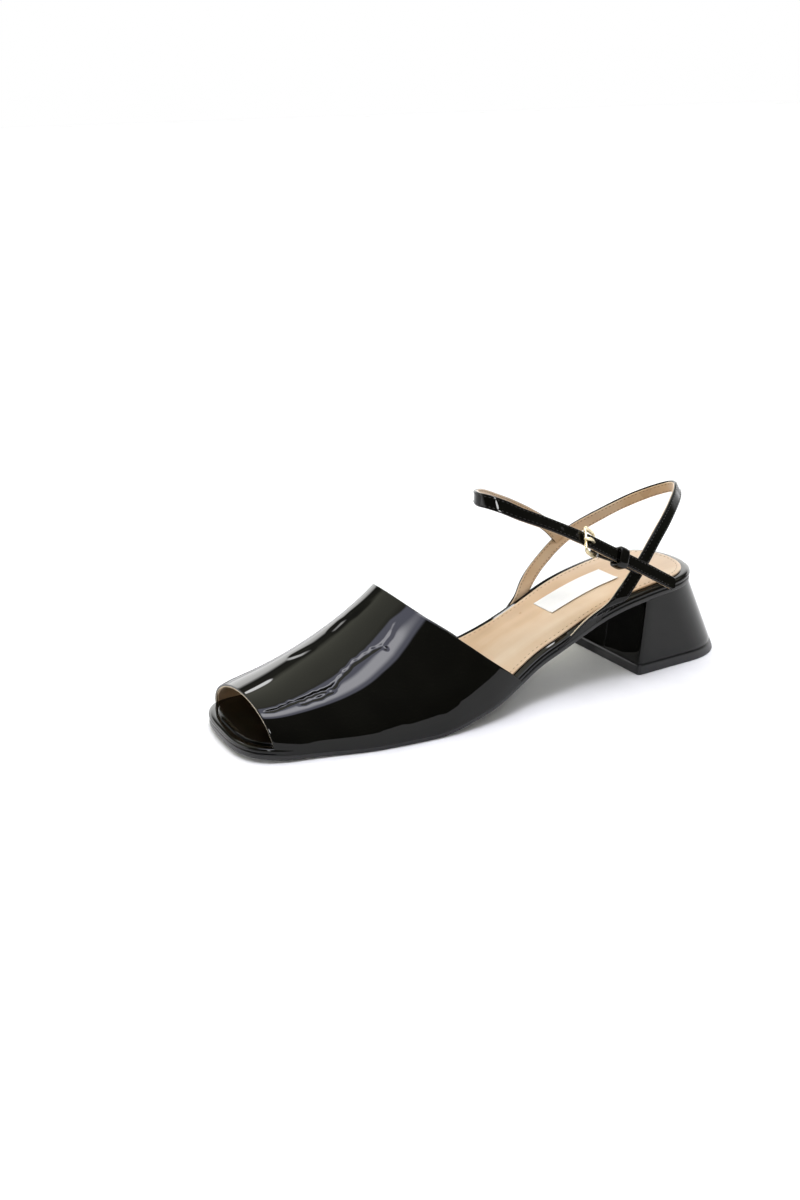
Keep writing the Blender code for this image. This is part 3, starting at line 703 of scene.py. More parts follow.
class PlanRow(NamedTuple):
    """Width of the sole, and the share of it that lies outside the middle line."""

    along: float
    width: float
    outer_share: float


class SideRow(NamedTuple):
    """Height of the underside, as shares of the seat's height and of the toe spring."""

    along: float
    seat_share: float
    toe_share: float


@dataclass(frozen=True)
class Last:
    """Plan and side view of the sole, from its rear (0) to its toe (1)."""

    length: float = 238.0 * MM
    seat_width: float = 51.4 * MM
    waist_width: float = 47.9 * MM
    ball_width: float = 72.4 * MM
    toe_width: float = 58.3 * MM
    seat_round: float = 27.0 * MM
    toe_round: float = 26.0 * MM
    seat_curve: float = 2.2
    toe_curve: float = 3.1
    toe_slant: float = 0.07
    seat_height: float = 37.4 * MM
    toe_spring: float = 2.3 * MM
    rear_y: float = 13.15 * MM
    outsole: float = 2.4 * MM
    board: float = 2.4 * MM
    sock: float = 0.8 * MM
    label: float = 0.5 * MM
    slope_reach: float = 0.004
    least_end: float = 0.30
    seat_steps: int = 25
    side_steps: int = 73
    toe_steps: int = 29
    cut_steps: int = 9

    @property
    def plan(self) -> tuple[PlanRow, ...]:
        """Widths of the sole along its length.

        Returns:
            Rows of the width and of its share on the outer side.
        """
        return (
            PlanRow(-0.10, 1.000 * self.seat_width, 0.500),
            PlanRow(0.00, 1.000 * self.seat_width, 0.500),
            PlanRow(0.12, 1.000 * self.seat_width, 0.500),
            PlanRow(0.25, 0.965 * self.seat_width, 0.508),
            PlanRow(0.40, 1.000 * self.waist_width, 0.568),
            PlanRow(0.55, 0.878 * self.ball_width, 0.511),
            PlanRow(0.66, 0.987 * self.ball_width, 0.453),
            PlanRow(0.76, 1.000 * self.ball_width, 0.402),
            PlanRow(0.90, 0.887 * self.ball_width, 0.302),
            PlanRow(1.00, 1.000 * self.toe_width, 0.242),
        )

    @property
    def side(self) -> tuple[SideRow, ...]:
        """Heights of the underside along its length.

        Returns:
            Rows of the shares of the seat's height and of the toe spring.
        """
        return (
            SideRow(-0.10, 1.045, 0.0),
            SideRow(0.00, 1.030, 0.0),
            SideRow(0.10, 1.000, 0.0),
            SideRow(0.20, 0.920, 0.0),
            SideRow(0.38, 0.577, 0.0),
            SideRow(0.56, 0.134, 0.0),
            SideRow(0.68, 0.000, 0.0),
            SideRow(0.78, 0.000, 0.0),
            SideRow(0.88, 0.000, 0.3),
            SideRow(1.00, 0.000, 1.0),
        )

    @property
    def board_base(self) -> float:
        """Height of the insole board's lower face above the underside."""
        return self.outsole + GAP

    @property
    def board_top(self) -> float:
        """Height of the insole board's upper face above the underside."""
        return self.board_base + self.board

    @property
    def sock_top(self) -> float:
        """Height of the sock's upper face above the underside."""
        return self.board_top + GAP + self.sock

    @property
    def label_top(self) -> float:
        """Height of the label's upper face above the underside."""
        return self.sock_top + GAP + self.label

    def along_at(self, y: np.ndarray) -> np.ndarray:
        """Share of the length at this Y."""
        return (self.rear_y - y) / self.length

    def y_at(self, along: np.ndarray) -> np.ndarray:
        """Y at this share of the length."""
        return self.rear_y - along * self.length

    def underside(self, along: np.ndarray) -> np.ndarray:
        """Height of the outsole's underside above the floor."""
        return (read(self.side, "seat_share", along) * self.seat_height
                + read(self.side, "toe_share", along) * self.toe_spring)

    def deck(self, along: np.ndarray, height: np.ndarray) -> np.ndarray:
        """Height above the floor of a layer that lies this far above the underside.

        Args:
            along: Share of the sole's length.
            height: Height above the underside.

        Returns:
            Height above the floor.
        """
        reach = self.slope_reach
        rise = self.underside(along + reach) - self.underside(along - reach)
        slope = rise / (2 * reach * self.length)
        return self.underside(along) + height * np.sqrt(1 + slope * slope)

    def middle(self, along: np.ndarray) -> tuple[np.ndarray, np.ndarray]:
        """X of the sole's middle, and half its width before the ends are rounded."""
        width = read(self.plan, "width", along)
        return (read(self.plan, "outer_share", along) - 0.5) * width, width / 2

    def end_width(self, distance: np.ndarray, radius: float, curve: float) -> np.ndarray:
        """Share of the full width that is left at this distance from a rounded end.

        Args:
            distance: Distance from the end.
            radius: Length of the rounded stretch.
            curve: Power of the curve: 2 is an ellipse, more is squarer.

        Returns:
            Share of the full width.
        """
        inner = np.clip(1.0 - np.maximum(distance, 0.0) / radius, 0.0, 1.0)
        left = np.maximum(self.least_end, (1.0 - inner ** curve) ** (1.0 / curve))
        return np.where(distance >= radius, 1.0, left)

    def edge(self, along: np.ndarray, side: np.ndarray, inset: float) -> np.ndarray:
        """X of the sole's edge on a side, drawn in by inset.

        Args:
            along: Share of the sole's length.
            side: Sign of the side's X.
            inset: Distance from the sole's edge.

        Returns:
            X of the edge.
        """
        mid, half = self.middle(along)
        rear = self.end_width(along * self.length - inset, self.seat_round - inset, self.seat_curve)
        front = self.end_width((1 - along) * self.length - inset, self.toe_round - inset,
                               self.toe_curve)
        return mid + side * (half - inset) * rear * front

    def slant(self, along: np.ndarray, x: np.ndarray) -> np.ndarray:
        """Shift of Y that cuts the toe a little askew."""
        mid, _ = self.middle(along)
        return -self.toe_slant * np.clip((along - 0.8) / 0.2, 0.0, 1.0) * (x - mid)

    def outline(self, inset: float, front: float = 1.0) -> tuple[np.ndarray, np.ndarray]:
        """Closed plan outline drawn in by inset, and the middle point that each point faces.

        Args:
            inset: Distance from the sole's edge.
            front: Share of the length where the outline is cut straight; 1 keeps the round toe.

        Returns:
            Outline points and middle points, both as x and y.
        """
        turns = np.radians(np.linspace(90, 0, self.seat_steps))
        rear_in = np.sin(turns) ** (2 / self.seat_curve)
        rear_along = (inset + (self.seat_round - inset) * (1 - rear_in)) / self.length
        rear_share = np.abs(np.cos(turns)) ** (2 / self.seat_curve)
        first = self.seat_round / self.length
        last = min(front, 1 - self.toe_round / self.length)
        side_along = np.linspace(first, last, self.side_steps)[1:]
        if front >= 1.0:
            turns = np.radians(np.linspace(0, 90, self.toe_steps))[1:]
            toe_in = np.sin(turns) ** (2 / self.toe_curve)
            end_along = 1 - (inset + (self.toe_round - inset) * (1 - toe_in)) / self.length
            end_share = np.abs(np.cos(turns)) ** (2 / self.toe_curve)
        else:
            end_share = np.linspace(1, 0, self.cut_steps)[1:]
            end_along = np.full(len(end_share), last)
        along = np.concatenate([rear_along, side_along, end_along])
        share = np.concatenate([rear_share, np.ones(len(side_along)), end_share])
        mid, half = self.middle(along)
        core = np.clip(along, first, 1 - self.toe_round / self.length)
        spine = np.column_stack([self.middle(core)[0], self.y_at(core)])
        points, faced = [], []
        for side in Side:
            x = mid + side.value * (half - inset) * share
            rim = np.column_stack([x, self.y_at(along) + self.slant(along, x)])
            order = slice(None) if side is Side.OUTER else slice(-2, 0, -1)
            points.append(rim[order])
            faced.append(spine[order])
        return np.vstack(points), np.vstack(faced)

    def layer(self, name: str, profile: Sequence[tuple[float, float]],
              front: float = 1.0) -> bpy.types.Object:
        """Build a layer of the sole from the section of its edge.

        Args:
            name: Name of the new object.
            profile: Inset and height above the underside, from the bottom round to the top.
            front: Share of the length where the layer ends.

        Returns:
            The new object.
        """
        lower = [(*profile[0], share) for share in (0.0, 0.5, 0.85)]
        edge = [(inset, height, 1.0) for inset, height in profile]
        upper = [(*profile[-1], share) for share in (0.95, 0.88, 0.78, 0.66, 0.52, 0.36, 0.18, 0.0)]
        rings = []
        for inset, height, share in lower + edge + upper:
            points, faced = self.outline(inset, front)
            spot = faced + (points - faced) * share
            rings.append(np.column_stack([spot, self.deck(self.along_at(spot[:, 1]), height)]))
        return loft(name, np.array(rings), capped=False)


# Sub-assemblies


def bullnose(inset: float, low: float, high: float, radius: float) -> list[tuple[float, float]]:
    """Section of a layer's edge with both corners rounded.

    Args:
        inset: Distance of the edge from the sole's edge.
        low: Height of the lower face.
        high: Height of the upper face.
        radius: Radius of both corners.

    Returns:
        Pairs of inset and height from the lower face to the upper one.
    """
    turns = np.radians(np.linspace(90, 0, 5))
    round_off = [(radius * (1 - math.cos(turn)), radius * (1 - math.sin(turn))) for turn in turns]
    lower = [(inset + aside, low + up) for aside, up in round_off]
    return lower + [(inset + aside, high - up) for aside, up in round_off[::-1]]


@dataclass
class Sole:
    """Outsole, insole board with its wrapped rim, sock and label."""

    last: Last
    finishes: Finishes
    sock_margin: float = 4.4 * MM
    sock_split: float = 0.80
    outsole_inset: float = 0.5 * MM
    rim_inset: float = 0.3 * MM
    label_length: float = 38.0 * MM
    label_width: float = 14.5 * MM
    label_shift: float = -1.5 * MM
    label_centre: float = 0.250
    label_curl: float = 0.35 * MM
    sunk: float = 0.1 * MM
    front_corner: float = 0.3 * MM
    front_rows: int = 30
    seam_inset: float = 2.0 * MM
    stitch_pitch: float = 2.6 * MM
    stitch_length: float = 1.3 * MM
    stitch_radius: float = 0.17 * MM

    def build(self) -> None:
        """Build and dress every layer."""
        last = self.last
        outsole = last.layer("outsole_rubber",
                             bullnose(self.outsole_inset, 0.0, last.outsole, 0.5 * MM))
        dress(outsole, self.finishes.rubber, Slot.RUBBER, "outsole")
        rim = last.layer("insole_board_wrapped",
                         bullnose(self.rim_inset, last.outsole, last.board_top, 1.25 * MM))
        dress(rim, self.finishes.patent, Slot.PATENT, "insole_board")
        sock = last.layer("sock_tan", bullnose(self.sock_margin, last.board_top - self.sunk,
                                               last.sock_top - GAP, 0.35 * MM), self.sock_split)
        dress(sock, self.finishes.lining, Slot.TAN, "insock")
        self.front_sock()
        self.label()
        self.seam()

    def front_sock(self) -> None:
        """Black end of the sock under the toes."""
        last = self.last
        profile = bullnose(self.sock_margin, last.board_top - self.sunk, last.sock_top - GAP,
                           self.front_corner)
        half = len(profile) // 2
        lower, upper = profile[:half], profile[half:]
        rings = []
        for along in np.linspace(self.sock_split + 0.001,
                                 0.9995 - self.sock_margin / last.length, self.front_rows):
            ring = []
            for side, section in ((-1, upper), (1, upper[::-1]), (1, lower[::-1]), (-1, lower)):
                for inset, height in section:
                    x = float(last.edge(along, side, inset))
                    y = last.y_at(along) + float(last.slant(along, x))
                    ring.append((x, y, float(last.deck(last.along_at(y), height))))
            rings.append(ring)
        item = loft("sock_front_black", np.array(rings))
        dress(item, self.finishes.patent, Slot.PATENT, "toe_sock")

    def label(self) -> None:
        """Blank woven label on the sock."""
        last = self.last
        rings = []
        section = strip_section(self.label_width, -0.4 * MM, 0.0, 0.15 * MM)
        centre = float(last.y_at(self.label_centre))
        for y in np.linspace(centre - self.label_length / 2, centre + self.label_length / 2, 25):
            base = float(last.deck(last.along_at(y), last.label_top - 2 * GAP))
            rings.append([(self.label_shift + a, y, base + b + self.label_curl
                           * max(2 * a / self.label_width, 0.0) ** 8) for a, b in section])
        item = loft("label_blank", np.array(rings))
        dress(item, self.finishes.label, Slot.LABEL, "label_patch")

    def seam(self) -> None:
        """Stitches round the sock."""
        last = self.last
        points, _ = last.outline(self.sock_margin + self.seam_inset, self.sock_split)
        keep = points[points[:, 1] > float(last.y_at(self.sock_split)) + 1 * MM]
        # The seam starts after the widest gap, which is where the sock is split
        steps = np.linalg.norm(np.roll(keep, -1, axis=0) - keep, axis=1)
        keep = np.roll(keep, -int(np.argmax(steps)) - 1, axis=0)
        path = np.column_stack([keep, last.deck(last.along_at(keep[:, 1]), last.sock_top - GAP)])
        item = stitch_row("sock_stitches", path, np.tile(UP, (len(path), 1)), self.stitch_pitch,
                          self.stitch_length, self.stitch_radius)
        dress(item, self.finishes.tan_thread, Slot.TAN)


@dataclass
class Heel:
    """Block heel with its rubber top piece and the seam down its breast."""

    last: Last
    finishes: Finishes
    length: float = 60.1 * MM
    width: float = 53.0 * MM
    top_inset: float = 0.5 * MM
    rear_splay: float = 16.9 * MM
    breast_splay: float = 4.8 * MM
    corner: float = 1.6 * MM
    top_piece: float = 5.0 * MM
    sunk: float = 0.2 * MM
    wall_rows: int = 26
    seam_radius: float = 0.35 * MM
    seam_sunk: float = 0.02 * MM
    seam_span: tuple[float, float] = (0.16, 0.86)

    # Rounded rims, as rise and inset in millimetres
    block_rim = ((0.00, 0.90), (0.00, 0.35), (0.12, 0.10), (0.45, 0.00))
    lift_rim = ((0.00, 0.60), (0.10, 0.25), (0.40, 0.05), (0.90, 0.00))
    lift_top_rim = ((-0.20, 0.15), (0.00, 0.60))

    def outline(self, z: float, shrink: float = 0.0) -> np.ndarray:
        """D-shaped outline at a height, from the middle of the breast round to it again.

        Args:
            z: Height above the floor.
            shrink: Distance that the outline is drawn in.

        Returns:
            Ring of points.
        """
        last = self.last
        rise = z / last.seat_height
        half = self.width / 2 - shrink
        half += (last.seat_width / 2 - self.top_inset - self.width / 2) * rise
        rear = self.length / 2 - (self.rear_splay + self.top_inset) * rise - shrink
        breast = -self.length / 2 + self.breast_splay * rise + shrink
        points = [(x, breast) for x in np.linspace(0.0, half - self.corner, 9)]
        for turn in np.radians(np.linspace(0, 90, 6))[1:]:
            points.append((half - self.corner * (1 - math.sin(turn)),
                           breast + self.corner * (1 - math.cos(turn))))
        start = rear - last.seat_round
        for y in np.linspace(breast + self.corner, start, 7)[1:-1]:
            points.append((half, y))
        for turn in np.radians(np.linspace(0, 90, 25)):
            points.append((half * abs(math.cos(turn)) ** (2 / last.seat_curve),
                           start + last.seat_round * math.sin(turn) ** (2 / last.seat_curve)))
        left = [(-x, y) for x, y in points[-2:0:-1]]
        return np.array([(x, y, z) for x, y in points + left])

    def rim(self, base: float, rows: Sequence[tuple[float, float]]) -> list[np.ndarray]:
        """Outlines of a rounded rim that rises from a height."""
        return [self.outline(base + rise * MM, inset * MM) for rise, inset in rows]

    def build(self) -> None:
        """Build and dress the block, the top piece and the seam."""
        last = self.last
        low = self.top_piece + GAP / 2
        rings = self.rim(low, self.block_rim)
        foot = rings[-1]
        head = self.outline(last.seat_height)
        # Each side line runs up until it meets the sole's underside, which is found in steps
        side = head - foot
        share = np.full((len(foot), 1), 0.9)
        for _ in range(20):
            spot = foot + side * share
            roof = last.deck(last.along_at(spot[:, 1:2]), self.sunk)
            share += (roof - spot[:, 2:]) / side[:, 2:] * 0.8
        rings += [foot + side * share * rise for rise in np.linspace(0.06, 1.0, self.wall_rows)]
        block = loft("heel_block_wrapped", np.array(rings))
        dress(block, self.finishes.patent, Slot.PATENT, "heel_block")
        rings = self.rim(0.0, self.lift_rim)
        rings += [self.outline(z) for z in np.linspace(1.5 * MM, self.top_piece - 0.5 * MM, 5)]
        rings += self.rim(self.top_piece, self.lift_top_rim)
        piece = loft("heel_top_piece_rubber", np.array(rings))
        dress(piece, self.finishes.rubber, Slot.RUBBER, "heel_top_piece")
        self.seam()

    def seam(self) -> None:
        """Raised seam where the wrap's two ends meet, down the middle of the breast."""
        rise = np.linspace(*self.seam_span, 20)
        y = -self.length / 2 + self.breast_splay * rise - self.seam_sunk
        points = np.column_stack([np.zeros(len(rise)), y, rise * self.last.seat_height])
        item = tube("heel_wrap_seam", points, self.seam_radius, flatness=0.45,
                    flat_axis=(0, 1, 0))
        dress(item, self.finishes.patent, Slot.PATENT)


class VampRow(NamedTuple):
    """Shape of the vamp's arch from its toe edge (0) to its topline (1)."""

    back: float
    height_share: float
    lean_share: float
    fullness: float


class CreaseRow(NamedTuple):
    """A place on a crease of the vamp, its half width there, and its height (below 0: trough)."""

    back: float
    turn: float
    spread_mm: float
    height_mm: float


@dataclass
class Vamp:
    """Open-toe vamp: patent outside, lined, with both edges rolled."""

    last: Last
    finishes: Finishes
    height: float = 50.2 * MM
    reveal: float = 11.3 * MM
    bow: float = 2.1 * MM
    dip: float = 45.2 * MM
    topline_outer: float = 0.472
    topline_inner: float = 0.460
    swell: float = 0.7 * MM
    outer_ply: float = 0.95 * MM
    wall: float = 1.6 * MM
    length: float = 108 * MM
    girth: float = 118 * MM
    toe_edge: float = 0.13 * MM
    sunk: float = 0.2 * MM
    tuck: float = 0.5 * MM
    lining_shy: float = 0.9 * MM
    ply_gap: float = 0.02 * MM
    edge_back: float = 0.45 * MM
    edge_ahead: float = 0.42 * MM
    edge_under: float = 0.05 * MM
    patent_grid: tuple[int, int] = (190, 225)
    lining_grid: tuple[int, int] = (70, 101)

    # Turn at which a share of the columns is used up: they lie closest where the creases are
    column_shares = ((0.0, 0.0), (0.20, 0.82), (0.52, 1.17), (0.78, 1.75), (1.0, math.pi))

    # Wavy trough along the outer side of the crown, where the forefoot flexes
    long_crease = table(
        CreaseRow,
        (0.020, 0.925, 0.75, 0.00), (0.045, 0.924, 0.95, -0.23), (0.070, 0.912, 1.15, -0.30),
        (0.097, 0.911, 0.95, -0.21), (0.120, 0.926, 1.15, -0.30), (0.145, 0.925, 0.95, -0.19),
        (0.170, 0.942, 1.15, -0.32), (0.190, 0.930, 0.95, -0.18), (0.215, 0.935, 0.95, -0.26),
        (0.240, 0.924, 1.15, -0.39), (0.262, 0.935, 0.95, -0.25), (0.285, 0.928, 1.15, -0.35),
        (0.307, 0.938, 1.15, -0.39), (0.325, 0.928, 0.95, -0.26), (0.345, 0.929, 1.15, -0.35),
        (0.360, 0.920, 1.15, -0.39), (0.380, 0.931, 0.95, -0.26), (0.400, 0.927, 1.15, -0.35),
        (0.417, 0.941, 1.15, -0.32), (0.440, 0.965, 0.85, -0.16), (0.465, 0.990, 0.85, -0.22),
        (0.490, 1.004, 0.85, -0.14), (0.510, 1.024, 1.00, -0.28), (0.535, 1.030, 0.85, -0.17),
        (0.560, 1.052, 0.85, -0.14), (0.590, 1.066, 1.00, -0.29), (0.615, 1.056, 0.85, -0.17),
        (0.653, 1.064, 1.00, -0.25), (0.680, 1.055, 0.85, -0.14), (0.703, 1.063, 1.00, -0.28),
        (0.725, 1.050, 0.85, -0.14), (0.753, 1.042, 0.85, -0.17), (0.790, 1.056, 0.85, -0.09),
        (0.820, 1.068, 0.85, -0.14), (0.850, 1.092, 0.85, -0.07), (0.880, 1.115, 0.85, -0.10),
        (0.930, 1.131, 0.75, 0.00),
    )
    # Shorter fold beside it, nearer the toe
    side_crease = table(
        CreaseRow,
        (0.190, 0.874, 1.1, 0.00), (0.230, 0.866, 1.3, -0.26), (0.270, 0.872, 1.2, -0.20),
        (0.313, 0.864, 1.3, -0.34), (0.345, 0.873, 1.1, -0.22), (0.380, 0.880, 1.2, -0.26),
        (0.415, 0.892, 1.1, 0.00),
    )
    # Single pinch in the crown
    pinch = table(
        CreaseRow,
        (0.738, 0.998, 1.0, 0.00), (0.753, 1.000, 1.1, -0.30), (0.768, 1.002, 1.0, 0.00),
    )
    # Two dents in the ridge on the inner side
    front_dent = table(
        CreaseRow,
        (0.350, 1.700, 1.8, 0.00), (0.393, 1.670, 2.2, -0.30), (0.433, 1.628, 2.3, -0.36),
        (0.493, 1.592, 1.9, -0.22), (0.530, 1.580, 1.6, 0.00),
    )
    back_dent = table(
        CreaseRow,
        (0.620, 1.610, 1.7, 0.00), (0.665, 1.616, 2.0, -0.28), (0.720, 1.628, 2.2, -0.30),
        (0.760, 1.606, 1.8, -0.16), (0.800, 1.587, 2.1, -0.30), (0.850, 1.566, 1.8, -0.20),
        (0.945, 1.520, 1.6, 0.00),
    )
    # Slack places low on the outer side
    slack_toe = table(
        CreaseRow,
        (0.080, 0.150, 4.0, 0.00), (0.120, 0.290, 4.5, -0.16), (0.190, 0.420, 4.0, 0.00),
    )
    slack_ball = table(
        CreaseRow,
        (0.420, 0.200, 4.0, 0.00), (0.500, 0.330, 5.0, 0.18), (0.560, 0.480, 4.0, 0.00),
    )
    slack_waist = table(
        CreaseRow,
        (0.680, 0.200, 4.0, 0.00), (0.730, 0.330, 5.0, -0.18), (0.770, 0.470, 4.0, 0.00),
    )
    creases = (long_crease, side_crease, pinch, front_dent, back_dent, slack_toe, slack_ball,
               slack_waist)

    arch = table(
        VampRow,
        (0.00, 0.382, 0.052, 2.04), (0.25, 0.477, -0.011, 2.08), (0.50, 0.612, -0.074, 2.12),
        (0.75, 0.786, -0.137, 2.15), (1.00, 1.000, -0.200, 2.19),
    )

    def surface(self, back: np.ndarray, turn: np.ndarray) -> np.ndarray:
        """Outer face before creasing.

        Args:
            back: 0 at the toe edge to 1 at the topline.
            turn: 0 at the outer foot, over the crown, to pi at the inner foot.

        Returns:
            Points, with x, y and z along the last axis.
        """
        last = self.last
        rise = np.maximum(np.sin(turn), 0.0)
        across = np.cos(turn)
        front_y = last.y_at(1.0) + self.reveal - self.bow * rise
        inner_share = (1 - across) / 2
        foot = self.topline_outer + (self.topline_inner - self.topline_outer) * inner_share
        back_y = last.y_at(foot) - self.dip * rise
        y = front_y + (back_y - front_y) * back
        along = last.along_at(y)
        mid, half = last.middle(along)
        half = half * last.end_width((1 - along) * last.length, last.toe_round, last.toe_curve)
        power = 2 / read(self.arch, "fullness", back)
        half = half + self.swell * np.sin(2 * np.minimum(turn, math.pi - turn))
        x = mid + half * np.sign(across) * np.abs(across) ** power
        x = x + read(self.arch, "lean_share", back) * last.ball_width * rise * rise
        height = read(self.arch, "height_share", back) * self.height
        base = last.deck(along, last.outsole - self.sunk)
        return np.stack([x, y, base + (height + self.tuck) * rise ** power], axis=-1)

    def relief(self, back: np.ndarray, turn: np.ndarray) -> np.ndarray:
        """Height of the creases above the smooth face.

        Args:
            back: 0 at the toe edge to 1 at the topline.
            turn: 0 at the outer foot, over the crown, to pi at the inner foot.

        Returns:
            Heights, below zero in a trough.
        """
        size = np.array((self.length, self.girth / math.pi))
        spot = np.stack(np.broadcast_arrays(back, turn), axis=-1) * size
        total = np.zeros(spot.shape[:-1])
        for crease in self.creases:
            nearest = np.full(total.shape, np.inf)
            height = np.zeros(total.shape)
            for first, last in zip(crease[:-1], crease[1:]):
                start = np.array(first[:2]) * size
                span = np.array(last[:2]) * size - start
                share = np.clip(((spot - start) @ span) / (span @ span), 0.0, 1.0)
                away = np.linalg.norm(spot - start - share[..., None] * span, axis=-1)
                spread = first.spread_mm + (last.spread_mm - first.spread_mm) * share
                depth = first.height_mm + (last.height_mm - first.height_mm) * share
                closer = away < nearest
                nearest = np.where(closer, away, nearest)
                here = depth * MM * np.exp(-(away / (spread * MM)) ** 2)
                height = np.where(closer, here, height)
            total += height
        return total

    def frame(self, back: np.ndarray,
              turn: np.ndarray) -> tuple[np.ndarray, np.ndarray, np.ndarray]:
        """Points of the creased outer face, outward normals, and the direction to the topline.

        Args:
            back: 0 at the toe edge to 1 at the topline.
            turn: 0 at the outer foot, over the crown, to pi at the inner foot.

        Returns:
            Three arrays, with x, y and z along the last axis.
        """
        # The slopes are read a little way above the feet, where the arch stands upright
        reach, least = 0.001, 0.012
        bend = np.clip(turn, least, math.pi - least)
        down = (self.surface(back + reach, bend) - self.surface(back - reach, bend)) / (2 * reach)
        over = (self.surface(back, bend + reach) - self.surface(back, bend - reach)) / (2 * reach)
        normal = unit(np.cross(over, down))
        if normal[..., 2].mean() < 0:
            normal = -normal
        points = self.surface(back, turn) + normal * self.relief(back, turn)[..., None]
        return points, normal, unit(down)

    def ply(self, name: str, outside: float, inside: float, shy: float,
            grid: tuple[int, int]) -> bpy.types.Object:
        """Build one layer of the wall with rolled edges.

        Args:
            name: Name of the new object.
            outside: Depth of its outer face below the vamp's face.
            inside: Depth of its inner face.
            shy: Distance that its edges stop short of the vamp's edges.
            grid: Points from the toe edge to the topline, and from the outer foot to the inner.

        Returns:
            The new object.
        """
        span = np.linspace(shy / self.length, 1 - shy / self.length, grid[0])
        used, reached = zip(*self.column_shares)
        turns = np.interp(np.linspace(0.0, 1.0, grid[1]), used, reached)
        back, turn = np.meshgrid(span, turns)
        points, normal, ahead = self.frame(back, turn)
        radius = (inside - outside) / 2
        outer = points - normal * outside
        inner = points - normal * inside
        core = points - normal * (outside + radius)
        arc = np.radians(np.linspace(0, 180, 9))[1:-1, None, None]
        half = len(arc) // 2
        tail = core[:, -1] + radius * (np.cos(arc) * normal[:, -1] + np.sin(arc) * ahead[:, -1])
        nose = core[:, 0] + radius * (np.cos(arc) * normal[:, 0] - np.sin(arc) * ahead[:, 0])
        over, under = outer.swapaxes(0, 1), inner.swapaxes(0, 1)[::-1]
        rings = np.concatenate([nose[half::-1], over, tail[:half + 1],
                                tail[half:], under, nose[half:][::-1]])
        return loft(name, rings.swapaxes(0, 1))

    def build(self) -> None:
        """Build and dress both plies."""
        outer = self.ply("vamp_patent", 0.0, self.outer_ply, self.outer_ply / 2, self.patent_grid)
        dress(outer, self.finishes.patent, Slot.PATENT, "vamp")
        lining = self.ply("vamp_lining", self.outer_ply + self.ply_gap, self.wall, self.lining_shy,
                          self.lining_grid)
        dress(lining, self.finishes.lining, Slot.TAN)
        turns = np.linspace(0.0, math.pi, 121)
        back = np.full(len(turns), self.edge_back / self.length)
        points, normal, ahead = self.frame(back, turns)
        path = points - normal * (self.outer_ply + self.edge_under) - ahead * self.edge_ahead
        edge = tube("vamp_toe_edge", path, self.toe_edge)
        dress(edge, self.finishes.cut_edge, Slot.TAN)


class StrapRow(NamedTuple):
    """A place on a strap: along the sole, across and up as shares, and lean in degrees."""

    along: float
    across: float
    rise: float
    lean: float


@dataclass
class StrapLine:
    """Middle line of a strap, with the axes of its face at each point."""

    points: np.ndarray
    ahead: np.ndarray
    out: np.ndarray
    across: np.ndarray

    @staticmethod
    def of(route: np.ndarray, turn: int) -> "StrapLine":
        """Work out the axes along a route whose rows are a place and a lean.

        Args:
            route: Rows of a place and a lean in degrees.
            turn: Sign that turns the face outward.

        Returns:
            The line with its axes.
        """
        ahead = unit(np.gradient(route[:, :3], axis=0))
        normal = unit(np.column_stack([-ahead[:, 1], ahead[:, 0], np.zeros(len(ahead))]) * turn)
        upright = np.cross(normal, ahead)
        upright *= np.where(upright[:, 2:] < 0, -1.0, 1.0)
        lean = np.radians(route[:, 3:4])
        out = normal * np.cos(lean) + upright * np.sin(lean)
        across = upright * np.cos(lean) - normal * np.sin(lean)
        return StrapLine(route[:, :3].copy(), ahead, out, across)


@dataclass
class Spot:
    """A place on a strap, with its axes."""

    origin: np.ndarray
    ahead: np.ndarray
    across: np.ndarray
    out: np.ndarray

    def at(self, ahead: float, across: float, out: float) -> np.ndarray:
        """Place at these distances along the axes."""
        return self.origin + self.ahead * ahead + self.across * across + self.out * out


